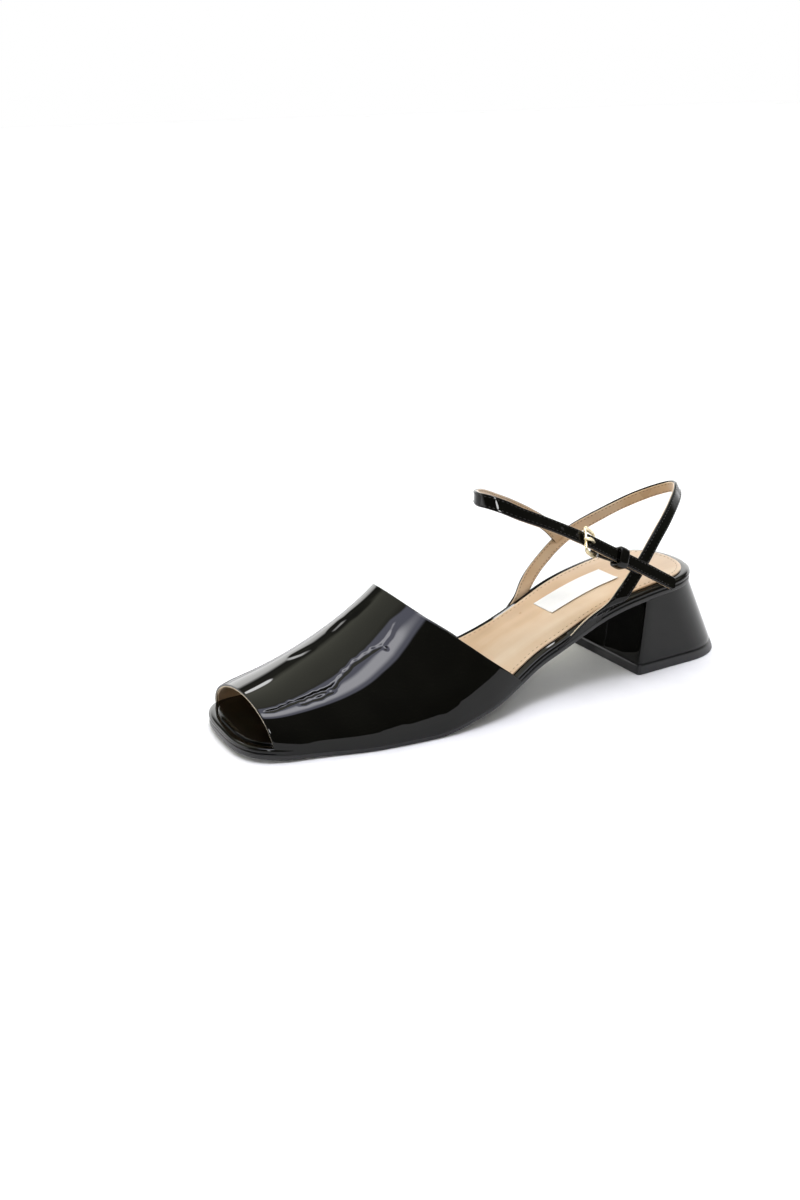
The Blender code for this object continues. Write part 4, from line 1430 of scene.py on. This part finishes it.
@dataclass
class Buckle:
    """Buckle frame and its prong, hung on the strap by the rear bar."""

    bar: Spot
    finishes: Finishes
    strap_width: float
    strap_thickness: float
    wire: float = 1.5 * MM
    length: float = 11.0 * MM
    spare: float = 1.6 * MM
    corner: float = 1.6 * MM
    face: float = 2.1 * MM
    frame_pitch: float = 0.7 * MM
    skew: float = 14.0
    prong_wire: float = 1.2 * MM
    prong_tip: float = 1.4 * MM
    prong_pitch: float = 0.5 * MM
    tab_ply: float = 0.7 * MM

    @property
    def reach(self) -> float:
        """Distance from the middle of the rear bar to that of the front bar."""
        return self.length - self.wire

    @property
    def rear_out(self) -> float:
        """Place of the rear bar, below the strap and the tab's fold."""
        return -(self.strap_thickness / 2 + GAP + self.wire / 2 + GAP + self.tab_ply)

    @property
    def front_out(self) -> float:
        """Place of the front bar, above the strap."""
        return self.strap_thickness / 2 + GAP + self.wire / 2

    def skewed(self, ahead: float, across: float, out: float) -> np.ndarray:
        """Place on the buckle, which has swung a little round in the strap's face.

        Args:
            ahead: Distance towards the strap's tip.
            across: Distance across the strap.
            out: Distance outward.

        Returns:
            The place.
        """
        turn = math.radians(self.skew)
        ahead -= self.reach / 2
        return self.bar.at(self.reach / 2 + ahead * math.cos(turn) - across * math.sin(turn),
                           ahead * math.sin(turn) + across * math.cos(turn), out)

    def frame(self) -> None:
        """Flattened rod, bent to a box with round corners."""
        tilt = (self.front_out - self.rear_out) / self.reach
        wide = self.strap_width + 2 * self.spare + self.wire
        ring = []
        for place, across, _, _ in rounded_box(self.reach, wide, self.corner, 9):
            ahead = place + self.reach / 2
            ring.append(self.skewed(ahead, across, self.rear_out + tilt * ahead))
        dense = []
        for start, stop in zip(ring, ring[1:] + ring[:1]):
            count = max(1, int(np.linalg.norm(stop - start) / self.frame_pitch))
            dense += [start + (stop - start) * step / count for step in range(count)]
        item = tube("buckle_frame_gold", np.array(dense), self.face / 2, True,
                    self.wire / self.face * 0.9, unit(self.bar.out - self.bar.ahead * tilt))
        dress(item, self.finishes.gold, Slot.GOLD, "buckle_frame")

    def prong(self) -> None:
        """Rod hooked round the rear bar, that rests on the front bar."""
        hook = self.wire / 2 + GAP + self.prong_wire / 2
        rest = self.front_out + self.wire / 2 + GAP / 2 + self.prong_wire / 2
        path = [(hook * math.cos(turn), self.rear_out + hook * math.sin(turn))
                for turn in np.radians(np.linspace(-60, -280, 9))]
        path += [(hook * 1.1, self.rear_out + hook * 1.35), (self.reach * 0.55, rest * 0.55),
                 (self.reach * 0.80, rest * 0.93), (self.reach, rest),
                 (self.reach + self.prong_tip, rest - 0.2 * MM)]
        rows = spline([self.skewed(ahead, 0, out) for ahead, out in path], self.prong_pitch)
        item = tube("buckle_prong_gold", rows, self.prong_wire * 0.6,
                    flat_axis=tuple(self.bar.across))
        dress(item, self.finishes.gold, Slot.GOLD, "buckle_prong")


@dataclass
class Straps:
    """Sling strap, instep strap, buckle, its tab and the keeper."""

    last: Last
    finishes: Finishes
    width: float = 6.0 * MM
    thickness: float = 1.8 * MM
    spread: float = 29.5 * MM
    sling_rise: float = 36.6 * MM
    hug_rise: float = 5.0 * MM
    inner_end: float = 0.345
    outer_end: float = 0.330
    pitch: float = 1.0 * MM
    end_rows: int = 19
    raw_rows: int = 42
    trim_pitch: float = 0.25 * MM
    trim_steps: int = 240
    patent_ply: float = 0.55 * MM
    overlap: float = 0.03 * MM
    fold: float = 0.45 * MM
    lining_corner: float = 0.15 * MM
    lining_shy: float = 0.25 * MM
    tip_round: float = 1.6 * MM
    tip_taper: float = 0.30
    seam_inset: float = 1.0 * MM
    stitch_pitch: float = 2.0 * MM
    stitch_length: float = 1.2 * MM
    stitch_radius: float = 0.20 * MM
    bar_place: float = 0.300
    keeper_place: float = 0.252
    tab_rear: float = 0.204
    tab_lining: float = 0.25 * MM
    keeper_length: float = 5.0 * MM
    keeper_wall: float = 1.1 * MM
    keeper_corner: float = 1.5 * MM
    keeper_crown: float = 0.25 * MM
    holes: int = 2
    hole_pitch: float = 8.0 * MM
    hole_radius: float = 0.75 * MM

    sling = table(
        StrapRow,
        (0.312, -0.800, 0.060, -20), (0.284, -0.870, 0.149, -42), (0.250, -0.932, 0.239, -42),
        (0.212, -0.966, 0.345, -36), (0.167, -0.966, 0.440, -12), (0.110, -0.898, 0.547, 6),
        (0.062, -0.746, 0.679, 18), (0.029, -0.441, 0.834, 26), (0.012, -0.169, 0.934, 30),
        (0.014, 0.034, 0.978, 30), (0.029, 0.203, 0.972, 28), (0.053, 0.373, 0.926, 26),
        (0.106, 0.661, 0.800, 25), (0.148, 0.831, 0.672, 23), (0.182, 0.932, 0.524, 23),
        (0.212, 0.983, 0.360, 24), (0.237, 0.990, 0.215, 22), (0.262, 0.955, 0.070, 14),
    )
    instep = table(
        StrapRow,
        (0.206, -0.962, 0.390, 4), (0.238, -0.949, 0.640, 8), (0.290, -0.881, 0.965, 10),
        (0.354, -0.712, 1.337, 8), (0.407, -0.508, 1.628, 4), (0.457, -0.271, 1.918, 0),
        (0.491, -0.034, 2.091, 0), (0.502, 0.169, 2.136, 6), (0.493, 0.356, 2.100, 18),
        (0.474, 0.508, 1.993, 30), (0.451, 0.627, 1.847, 40), (0.397, 0.790, 1.540, 46),
        (0.337, 0.915, 1.205, 40), (0.274, 1.000, 0.830, 30), (0.204, 1.060, 0.455, 26),
        (0.125, 1.095, 0.070, 26),
    )

    def place(self, row: StrapRow) -> tuple[float, float, float, float]:
        """Place and lean of a row.

        Args:
            row: Row of a strap's table.

        Returns:
            X, Y, Z and the lean.
        """
        last = self.last
        z = float(last.deck(row.along, last.board_top)) + row.rise * self.sling_rise
        return row.across * self.spread, float(last.y_at(row.along)), z, row.lean

    def sole_end(self, along: float, side: Side) -> tuple[float, float, float, float]:
        """Where the sling goes in beside the board.

        Args:
            along: Share of the sole's length.
            side: Side of the foot.

        Returns:
            X, Y, Z and no lean.
        """
        last = self.last
        x = float(last.edge(along, side.value, self.thickness / 2))
        return x, float(last.y_at(along)), float(last.deck(along, last.board_base)), 0.0

    def trim(self, point: np.ndarray, ahead: np.ndarray) -> np.ndarray:
        """Slide a point along the strap until it meets the outsole.

        Args:
            point: Point to slide.
            ahead: Direction of its strand, downward.

        Returns:
            The point at the outsole's upper face.
        """
        last = self.last
        for sign in (1, -1):
            for _ in range(self.trim_steps):
                height = point[2] - float(last.deck(last.along_at(point[1]), last.board_base))
                if height * sign <= 0:
                    break
                point = point + sign * ahead * self.trim_pitch
        return point

    def hug(self, points: np.ndarray) -> np.ndarray:
        """Turn the strap flat against the board's edge where it runs low.

        Args:
            points: Points of the strap's middle face.

        Returns:
            The points, drawn in where they run low.
        """
        last = self.last
        along = last.along_at(points[..., 1])
        share = (last.deck(along, last.board_top) + self.hug_rise - points[..., 2]) / self.hug_rise
        share = ease(np.clip(share, 0.0, 1.0))
        side = np.sign(points[..., 0])
        flat = last.edge(along, side, self.thickness / 2)
        moved = points.copy()
        moved[..., 0] += (flat - points[..., 0]) * share
        return moved

    def grid(self, line: StrapLine) -> np.ndarray:
        """Middle face of a strap: across by along."""
        return line.points + ACROSS[:, None, None] * self.width * line.across

    def sling_grid(self, line: StrapLine) -> np.ndarray:
        """Middle face of the sling, trimmed to the sole and drawn straight at both ends.

        Args:
            line: Middle line of the strap.

        Returns:
            Points, across by along.
        """
        grid = self.grid(line)
        for strand in grid:
            for first, step in ((0, 1), (grid.shape[1] - 1, -1)):
                start = self.trim(strand[first], line.ahead[first] * -step)
                strand[first] = start
                stop = strand[first + step * self.end_rows].copy()
                for k in range(1, self.end_rows):
                    share = k / self.end_rows
                    row = first + step * k
                    straight = start + (stop - start) * share
                    strand[row] = straight * (1 - share) + strand[row] * share
        return self.hug(grid)

    @staticmethod
    def normals(grid: np.ndarray, out: np.ndarray) -> np.ndarray:
        """Outward normals of a strap's middle face.

        Args:
            grid: Middle face, across by along.
            out: Outward direction at each point of the middle line.

        Returns:
            Normals on the same grid.
        """
        normal = unit(np.cross(np.gradient(grid, axis=0), np.gradient(grid, axis=1)))
        flip = np.sign((normal * out[None]).sum(axis=-1, keepdims=True))
        return normal * np.where(flip == 0, 1.0, flip)

    def strip(self, name: str, grid: np.ndarray, normal: np.ndarray, low: float, high: float,
              corner: float, narrow: float = 0.0, round_end: bool = False) -> bpy.types.Object:
        """Build a ply of a strap round its middle face.

        Args:
            name: Name of the new object.
            grid: Middle face, across by along.
            normal: Outward normals on the same grid.
            low: Offset of the ply's inner face from the middle face.
            high: Offset of its outer face.
            corner: Radius of its edges.
            narrow: Amount that the ply is narrower than the strap on each side.
            round_end: Whether the last end is cut with rounded corners.

        Returns:
            The new object.
        """
        rows = grid.shape[1]
        width = float(np.linalg.norm(grid[-1, rows // 2] - grid[0, rows // 2]))
        section = strip_section(width - 2 * narrow, low, high, corner, 7) / (width, 1.0)
        rings = []
        for j in range(rows):
            taper = 1.0
            left = (rows - 1 - j) * self.pitch / self.tip_round
            if round_end and left < 1:
                taper -= self.tip_taper * (1 - math.sqrt(max(1 - (1 - left) ** 2, 0.0)))
            ring = []
            for across, out in section:
                place = between(across * taper, ACROSS, grid[:, j])
                ring.append(place + unit(between(across * taper, ACROSS, normal[:, j])) * out)
            rings.append(ring)
        return loft(name, np.array(rings))

    def seams(self, name: str, grid: np.ndarray, normal: np.ndarray, offset: float,
              rows: range, finish: bpy.types.Material, slot: Slot) -> None:
        """Sew a row of stitches along both edges of a strap's face.

        Args:
            name: Start of the names of both rows.
            grid: Middle face, across by along.
            normal: Outward normals on the same grid.
            offset: Place of the face, below zero on the inside.
            rows: Rows of the grid that are sewn.
            finish: Thread.
            slot: Slot of the record.
        """
        middle = grid.shape[1] // 2
        edge = 0.5 - self.seam_inset / float(np.linalg.norm(grid[-1, middle] - grid[0, middle]))
        for word, place in (("low", -edge), ("high", edge)):
            path = np.array([between(place, ACROSS, grid[:, j]) for j in rows])
            out = np.array([between(place, ACROSS, normal[:, j]) for j in rows])
            item = stitch_row(f"{name}_{word}", path + unit(out) * offset, out * np.sign(offset),
                              self.stitch_pitch, self.stitch_length, self.stitch_radius)
            dress(item, finish, slot)

    def strap(self, name: str, grid: np.ndarray, normal: np.ndarray,
              nodes: Sequence[str] = (), unsewn: int = 4, round_end: bool = False) -> None:
        """Build a strap: patent folded over its lining, and stitched along both edges.

        Args:
            name: Start of the names of its pieces.
            grid: Middle face, across by along.
            normal: Outward normals on the same grid.
            nodes: Nodes of the frame that it stands for.
            unsewn: Rows without a stitch at its last end.
            round_end: Whether the last end is cut with rounded corners.
        """
        half = self.thickness / 2
        outer = self.strip(f"{name}_strap_patent", grid, normal, self.patent_ply - half, half,
                           self.fold, round_end=round_end)
        dress(outer, self.finishes.strap_patent, Slot.PATENT, *nodes)
        inner = self.strip(f"{name}_strap_lining", grid, normal, -half,
                           self.patent_ply - half + self.overlap, self.lining_corner,
                           self.lining_shy, round_end)
        dress(inner, self.finishes.lining, Slot.TAN)
        rows = range(4, grid.shape[1] - unsewn)
        self.seams(f"{name}_stitches_inside", grid, normal, -half, rows, self.finishes.tan_thread,
                   Slot.TAN)
        self.seams(f"{name}_stitches_outside", grid, normal, half, rows, self.finishes.black_thread,
                   Slot.PATENT)

    def build(self) -> None:
        """Build and dress the straps and their fittings."""
        points = [self.sole_end(self.inner_end, Side.INNER)]
        points += [self.place(row) for row in self.sling]
        points += [self.sole_end(self.outer_end, Side.OUTER)]
        sling = StrapLine.of(spline(points, self.pitch), 1)
        grid = self.sling_grid(sling)
        normal = self.normals(grid, sling.out)
        self.strap("sling", grid, normal, ("ankle_straps",))
        sunk = (self.patent_ply - self.thickness / 2) * 0.2
        edge = grid[-1, -self.raw_rows:] + normal[-1, -self.raw_rows:] * sunk
        dress(tube("sling_cut_edge", edge, 0.22 * MM), self.finishes.cut_edge, Slot.TAN)
        route = spline([self.place(row) for row in self.instep], self.pitch)
        instep = StrapLine.of(route, -1)
        grid = self.grid(instep)
        self.strap("instep", grid, self.normals(grid, instep.out), unsewn=3, round_end=True)
        self.fittings(instep)

    def nearest(self, line: StrapLine, along: float) -> int:
        """Number of the outer point of a strap at this share of the sole's length."""
        away = np.abs(self.last.along_at(line.points[:, 1]) - along) + (line.points[:, 0] < 0)
        return int(np.argmin(away))

    def fittings(self, line: StrapLine) -> None:
        """Buckle, strap holes, tab and keeper.

        Args:
            line: Middle line of the strap.
        """
        row = self.nearest(line, self.bar_place)
        forward = -line.ahead[row]
        bar = Spot(line.points[row], forward, np.cross(line.out[row], forward), line.out[row])
        buckle = Buckle(bar, self.finishes, self.width, self.thickness)
        buckle.frame()
        buckle.prong()
        for k in range(1, self.holes + 1):
            away = buckle.reach * 0.55 + k * self.hole_pitch
            self.hole(f"strap_hole_{k}", line, row - int(round(away / self.pitch)))
        self.tab_loops(buckle)
        self.tab(line, row, buckle)
        self.keeper(line)

    def hole(self, name: str, line: StrapLine, row: int) -> None:
        """Punched hole in the instep strap, with the lip that the punch leaves.

        Args:
            name: Start of the names of its two pieces.
            line: Middle line of the strap.
            row: Row of the line where it is punched.
        """
        turns = np.linspace(0, 2 * math.pi, 20, endpoint=False)
        circle = (np.cos(turns)[:, None] * line.across[row]
                  + np.sin(turns)[:, None] * line.ahead[row])
        top = line.points[row] + line.out[row] * self.thickness / 2
        rim = top + circle * self.hole_radius
        lip = tube(f"{name}_lip", rim, 0.14 * MM, True, 0.6, tuple(line.out[row]))
        dress(lip, self.finishes.strap_patent, Slot.PATENT)
        shaft = np.array([rim - line.out[row] * 0.3 * MM, rim + line.out[row] * 0.015 * MM])
        dress(loft(f"{name}_shaft", shaft), self.finishes.black_thread, Slot.PATENT)

    def tab_loops(self, buckle: Buckle) -> None:
        """Fold of the tab round the rear bar, in two halves beside the prong.

        Args:
            buckle: The buckle.
        """
        radius = (buckle.wire + GAP + buckle.tab_ply) / 2
        turns = np.radians(np.linspace(150, -75, 16))
        bar = buckle.bar
        out = np.cos(turns)[:, None] * bar.ahead + np.sin(turns)[:, None] * bar.out
        path = bar.at(0, 0, buckle.rear_out) + radius * out
        room = buckle.prong_wire / 2 + GAP
        side = self.width / 2 - room
        for word, sign in (("left", -1), ("right", 1)):
            across = sign * (room + side / 2) + ACROSS[:, None, None] * side
            item = self.strip(f"tab_loop_{word}", path + across * bar.across,
                              np.repeat(out[None], len(ACROSS), axis=0), -buckle.tab_ply / 2,
                              buckle.tab_ply / 2, 0.3 * MM)
            dress(item, self.finishes.strap_patent, Slot.PATENT)

    def tab(self, line: StrapLine, bar: int, buckle: Buckle) -> None:
        """Tab from the buckle's loop back to the sling, under the strap.

        Args:
            line: Middle line of the strap.
            bar: Row of the line at the rear bar.
            buckle: The buckle.
        """
        start, ended = 3, 12
        span = slice(bar + start, self.nearest(line, self.tab_rear) + 1)
        steps = np.arange(start, span.stop - bar)
        near = buckle.rear_out - (buckle.wire + GAP + buckle.tab_ply) / 2 + self.tab_lining
        far = -self.thickness - GAP
        offset = near + (far - near) * ease(np.minimum(steps / ended, 1.0))
        out = line.out[span]
        part = StrapLine(line.points[span] + out * offset[:, None], line.ahead[span], out,
                         line.across[span])
        grid = self.grid(part)
        normal = self.normals(grid, out)
        half = self.thickness / 2
        item = self.strip("buckle_tab_patent", grid, normal, self.tab_lining - half, half,
                          self.fold)
        dress(item, self.finishes.strap_patent, Slot.PATENT)
        item = self.strip("buckle_tab_lining", grid, normal, -half,
                          self.tab_lining - half + self.overlap, 0.1 * MM, self.lining_shy)
        dress(item, self.finishes.lining, Slot.TAN)

    def keeper(self, line: StrapLine) -> None:
        """Leather loop round the strap and the tab.

        Args:
            line: Middle line of the strap.
        """
        centre = self.nearest(line, self.keeper_place)
        ply = self.thickness + GAP
        wide = self.width + 3 * GAP + self.keeper_wall
        tall = self.thickness + ply + 3 * GAP + self.keeper_wall
        origin = line.points[centre] - line.out[centre] * ply / 2
        middle = Spot(origin, line.ahead[centre], line.across[centre], line.out[centre])
        section = strip_section(self.keeper_length, -self.keeper_wall / 2, self.keeper_wall / 2,
                                0.45 * MM)
        rings = []
        for across, out, aside, away in rounded_box(wide, tall, self.keeper_corner, 7):
            ring = []
            for ahead, lift in section:
                lift += self.keeper_crown * (1 - (2 * ahead / self.keeper_length) ** 2)
                ring.append(middle.at(ahead, across + aside * lift, out + away * lift))
            rings.append(ring)
        item = loft("keeper_loop_patent", np.array(rings), joined=True)
        dress(item, self.finishes.strap_patent, Slot.PATENT, "keeper_loop")


# Studio


@dataclass(frozen=True)
class Softbox:
    """A rectangular soft light: its place, what it faces, its size in metres and its power.

    A light with pieces lights those alone and shows in them; any other shows in no reflection.
    """

    name: str
    place: tuple[float, float, float]
    target: tuple[float, float, float]
    size: tuple[float, float]
    power: float
    pieces: tuple[str, ...] = ()


@dataclass(frozen=True)
class Glow:
    """Soft-edged bright patch of the ceiling, by the X and Y of the direction that it lies in."""

    centre: tuple[float, float]
    reach: tuple[float, float]
    edge: tuple[float, float]
    colour: tuple[float, float, float]


@dataclass
class Studio:
    """White sweep, soft lights and the camera at the photo's angle."""

    boxes: tuple[Softbox, ...] = (
        Softbox("light_fill", (0.30, -0.60, 4.0), (0.0, -0.12, 0.0), (4.0, 4.0), 68.0),
        Softbox("light_buckle", (0.25, 0.21, 0.42), (0.03, -0.06, 0.065), (0.3, 0.3), 4.0,
                ("buckle_frame_gold", "buckle_prong_gold")),
    )
    glows: tuple[Glow, ...] = (
        Glow((0.10, -0.02), (0.23, 0.45), (0.90, 1.05), (0.90, 0.92, 1.16)),
        Glow((0.16, -0.02), (0.12, 0.34), (0.42, 1.06), (3.3, 3.3, 3.55)),
        Glow((0.68, -0.54), (0.06, 0.06), (0.80, 1.00), (7.0, 7.0, 7.0)),
        Glow((-0.75, 0.20), (0.035, 0.035), (0.60, 1.00), (3.0, 3.0, 3.0)),
    )
    floor_half: float = 6.0
    strength: float = 3.3
    flag_from: tuple[float, float] = (-130 * MM, -210 * MM)
    flag_to: tuple[float, float] = (-10 * MM, -31 * MM)
    aim: tuple[float, float, float] = (-35.2 * MM, -122.13 * MM, 37.43 * MM)
    azimuth: float = 58.77
    elevation: float = 20.64
    roll: float = -0.67
    distance: float = 662.82 * MM
    focal_px: float = 1438.94
    long_side_px: float = 1200.0

    # Light of the walls on the foot's inner and outer side, by the height of the direction
    inner_walls = ((0.00, (0.80, 0.80, 0.80)), (0.36, (1.00, 1.00, 0.98)),
                   (0.45, (0.03, 0.03, 0.028)), (0.60, (0.06, 0.06, 0.05)),
                   (0.70, (0.34, 0.34, 0.28)), (1.00, (0.32, 0.32, 0.27)))
    outer_walls = ((0.00, (0.035, 0.035, 0.03)), (1.00, (0.06, 0.058, 0.05)))

    def floor(self) -> None:
        """Seamless white paper sweep."""
        work = bmesh.new()
        bmesh.ops.create_grid(work, x_segments=1, y_segments=1, size=self.floor_half)
        item = finished("paper_sweep", work)
        item.location.z = -0.03 * MM
        # Matte coated paper, nearly white
        item.data.materials.append(Grained("paper_matte_coated", "#F2F2F2", "#F6F6F6", 1.2, 0.002,
                                           (0.85, 0.95)).material())

    def flag(self) -> None:
        """Black sheet on the floor, seen in the reflections only: a painted dark reflection that
        keeps the inner side dark.
        """
        mesh = bpy.data.meshes.new("black_flag")
        (left, front), (right, back) = self.flag_from, self.flag_to
        places = ((left, front), (right, front), (right, back), (left, back))
        mesh.from_pydata([(x, y, 0.05 * MM) for x, y in places], [], [(0, 1, 2, 3)])
        item = bpy.data.objects.new("black_flag", mesh)
        item.visible_camera = False
        item.visible_diffuse = False
        item.visible_shadow = False
        bpy.context.scene.collection.objects.link(item)
        # Painted dark reflection: wholly matte black, seen by no camera, diffuse or shadow ray
        mesh.materials.append(Grained("felt_black", "#020202", "#030303", 1.0, 0.01,
                                      (0.9, 1.0)).material())

    def lights(self) -> None:
        """Soft lights, and the room round them."""
        for box in self.boxes:
            data = bpy.data.lights.new(box.name, "AREA")
            data.shape = "RECTANGLE"
            data.size, data.size_y = box.size
            data.energy = box.power
            item = bpy.data.objects.new(box.name, data)
            item.location = box.place
            away = Vector(box.place) - Vector(box.target)
            item.rotation_euler = away.to_track_quat("Z", "Y").to_euler()
            item.visible_camera = False
            item.visible_glossy = bool(box.pieces)
            if box.pieces:
                lit = bpy.data.collections.new(f"{box.name}_pieces")
                for piece in box.pieces:
                    lit.objects.link(bpy.data.objects[piece])
                item.light_linking.receiver_collection = lit
            bpy.context.scene.collection.objects.link(item)
        self.room()

    def room(self) -> None:
        """White room with its soft ceiling glows, as every reflection shows it."""
        world = bpy.data.worlds.new("studio")
        bpy.context.scene.world = world
        world.use_nodes = True
        tree = world.node_tree
        tree.nodes.clear()
        way = add(tree, "ShaderNodeTexCoord").outputs["Generated"]
        axes = add(tree, "ShaderNodeSeparateXYZ", links={"Vector": way})
        height = axes.outputs["Z"]
        inner, outer = [add(tree, "ShaderNodeValToRGB", {"stops": stops}, {"Fac": height})
                        for stops in (self.inner_walls, self.outer_walls)]
        side = add(tree, "ShaderNodeMapRange", {"From Min": -0.20, "From Max": 0.05},
                   {"Value": axes.outputs["X"]})
        room = add(tree, "ShaderNodeMix", {"data_type": "RGBA"},
                   {0: side.outputs["Result"], 6: inner.outputs["Color"],
                    7: outer.outputs["Color"]}).outputs[2]
        for glow in self.glows:
            away = add(tree, "ShaderNodeVectorMath",
                       {"operation": "SUBTRACT", 1: (*glow.centre, 0.0)},
                       {0: way}).outputs["Vector"]
            away = add(tree, "ShaderNodeVectorMath",
                       {"operation": "DIVIDE", 1: (*glow.reach, 1e3)}, {0: away}).outputs["Vector"]
            away = add(tree, "ShaderNodeVectorMath", {"operation": "LENGTH"}, {0: away})
            share = add(tree, "ShaderNodeMapRange",
                        {"interpolation_type": "SMOOTHSTEP", "From Min": glow.edge[1],
                         "From Max": glow.edge[0]}, {"Value": away.outputs["Value"]})
            room = add(tree, "ShaderNodeMix", {"data_type": "RGBA", 7: (*glow.colour, 1.0)},
                       {0: share.outputs["Result"], 6: room}).outputs[2]
        lit = add(tree, "ShaderNodeBackground", {"Strength": self.strength}, {"Color": room})
        white = add(tree, "ShaderNodeBackground", {"Color": (1.0, 1.0, 1.0, 1.0), "Strength": 1.0})
        seen = add(tree, "ShaderNodeLightPath").outputs["Is Camera Ray"]
        both = add(tree, "ShaderNodeMixShader", links={0: seen, 1: lit.outputs["Background"],
                                                       2: white.outputs["Background"]})
        add(tree, "ShaderNodeOutputWorld", links={"Surface": both.outputs["Shader"]})
        bpy.context.scene.view_settings.view_transform = "Standard"

    def camera(self) -> None:
        """Camera worked out from the photo's perspective."""
        az, el, roll = (math.radians(v) for v in (self.azimuth, self.elevation, self.roll))
        back = Vector((math.sin(az) * math.cos(el), -math.cos(az) * math.cos(el), math.sin(el)))
        right = Vector((math.cos(az), math.sin(az), 0.0))
        up = back.cross(right)
        rolled = right * math.cos(roll) + up * math.sin(roll)
        upright = up * math.cos(roll) - right * math.sin(roll)
        data = bpy.data.cameras.new("camera")
        data.sensor_fit = "AUTO"
        data.sensor_width = 36.0
        data.lens = self.focal_px / self.long_side_px * data.sensor_width
        data.clip_start = 0.01
        item = bpy.data.objects.new("camera", data)
        item.matrix_world = Matrix.Translation(Vector(self.aim) + back * self.distance) @ Matrix(
            (rolled, upright, back)).transposed().to_4x4()
        bpy.context.scene.collection.objects.link(item)
        bpy.context.scene.camera = item


def main() -> None:
    """Build every sub-assembly round the frame, in order."""
    logging.basicConfig(level=logging.INFO, format="%(message)s")
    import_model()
    last = Last()
    finishes = Finishes.build()
    for assembly in (Sole, Heel, Vamp, Straps):
        assembly(last, finishes).build()
    studio = Studio()
    studio.floor()
    studio.flag()
    studio.lights()
    studio.camera()


if __name__ == "__main__":
    main()
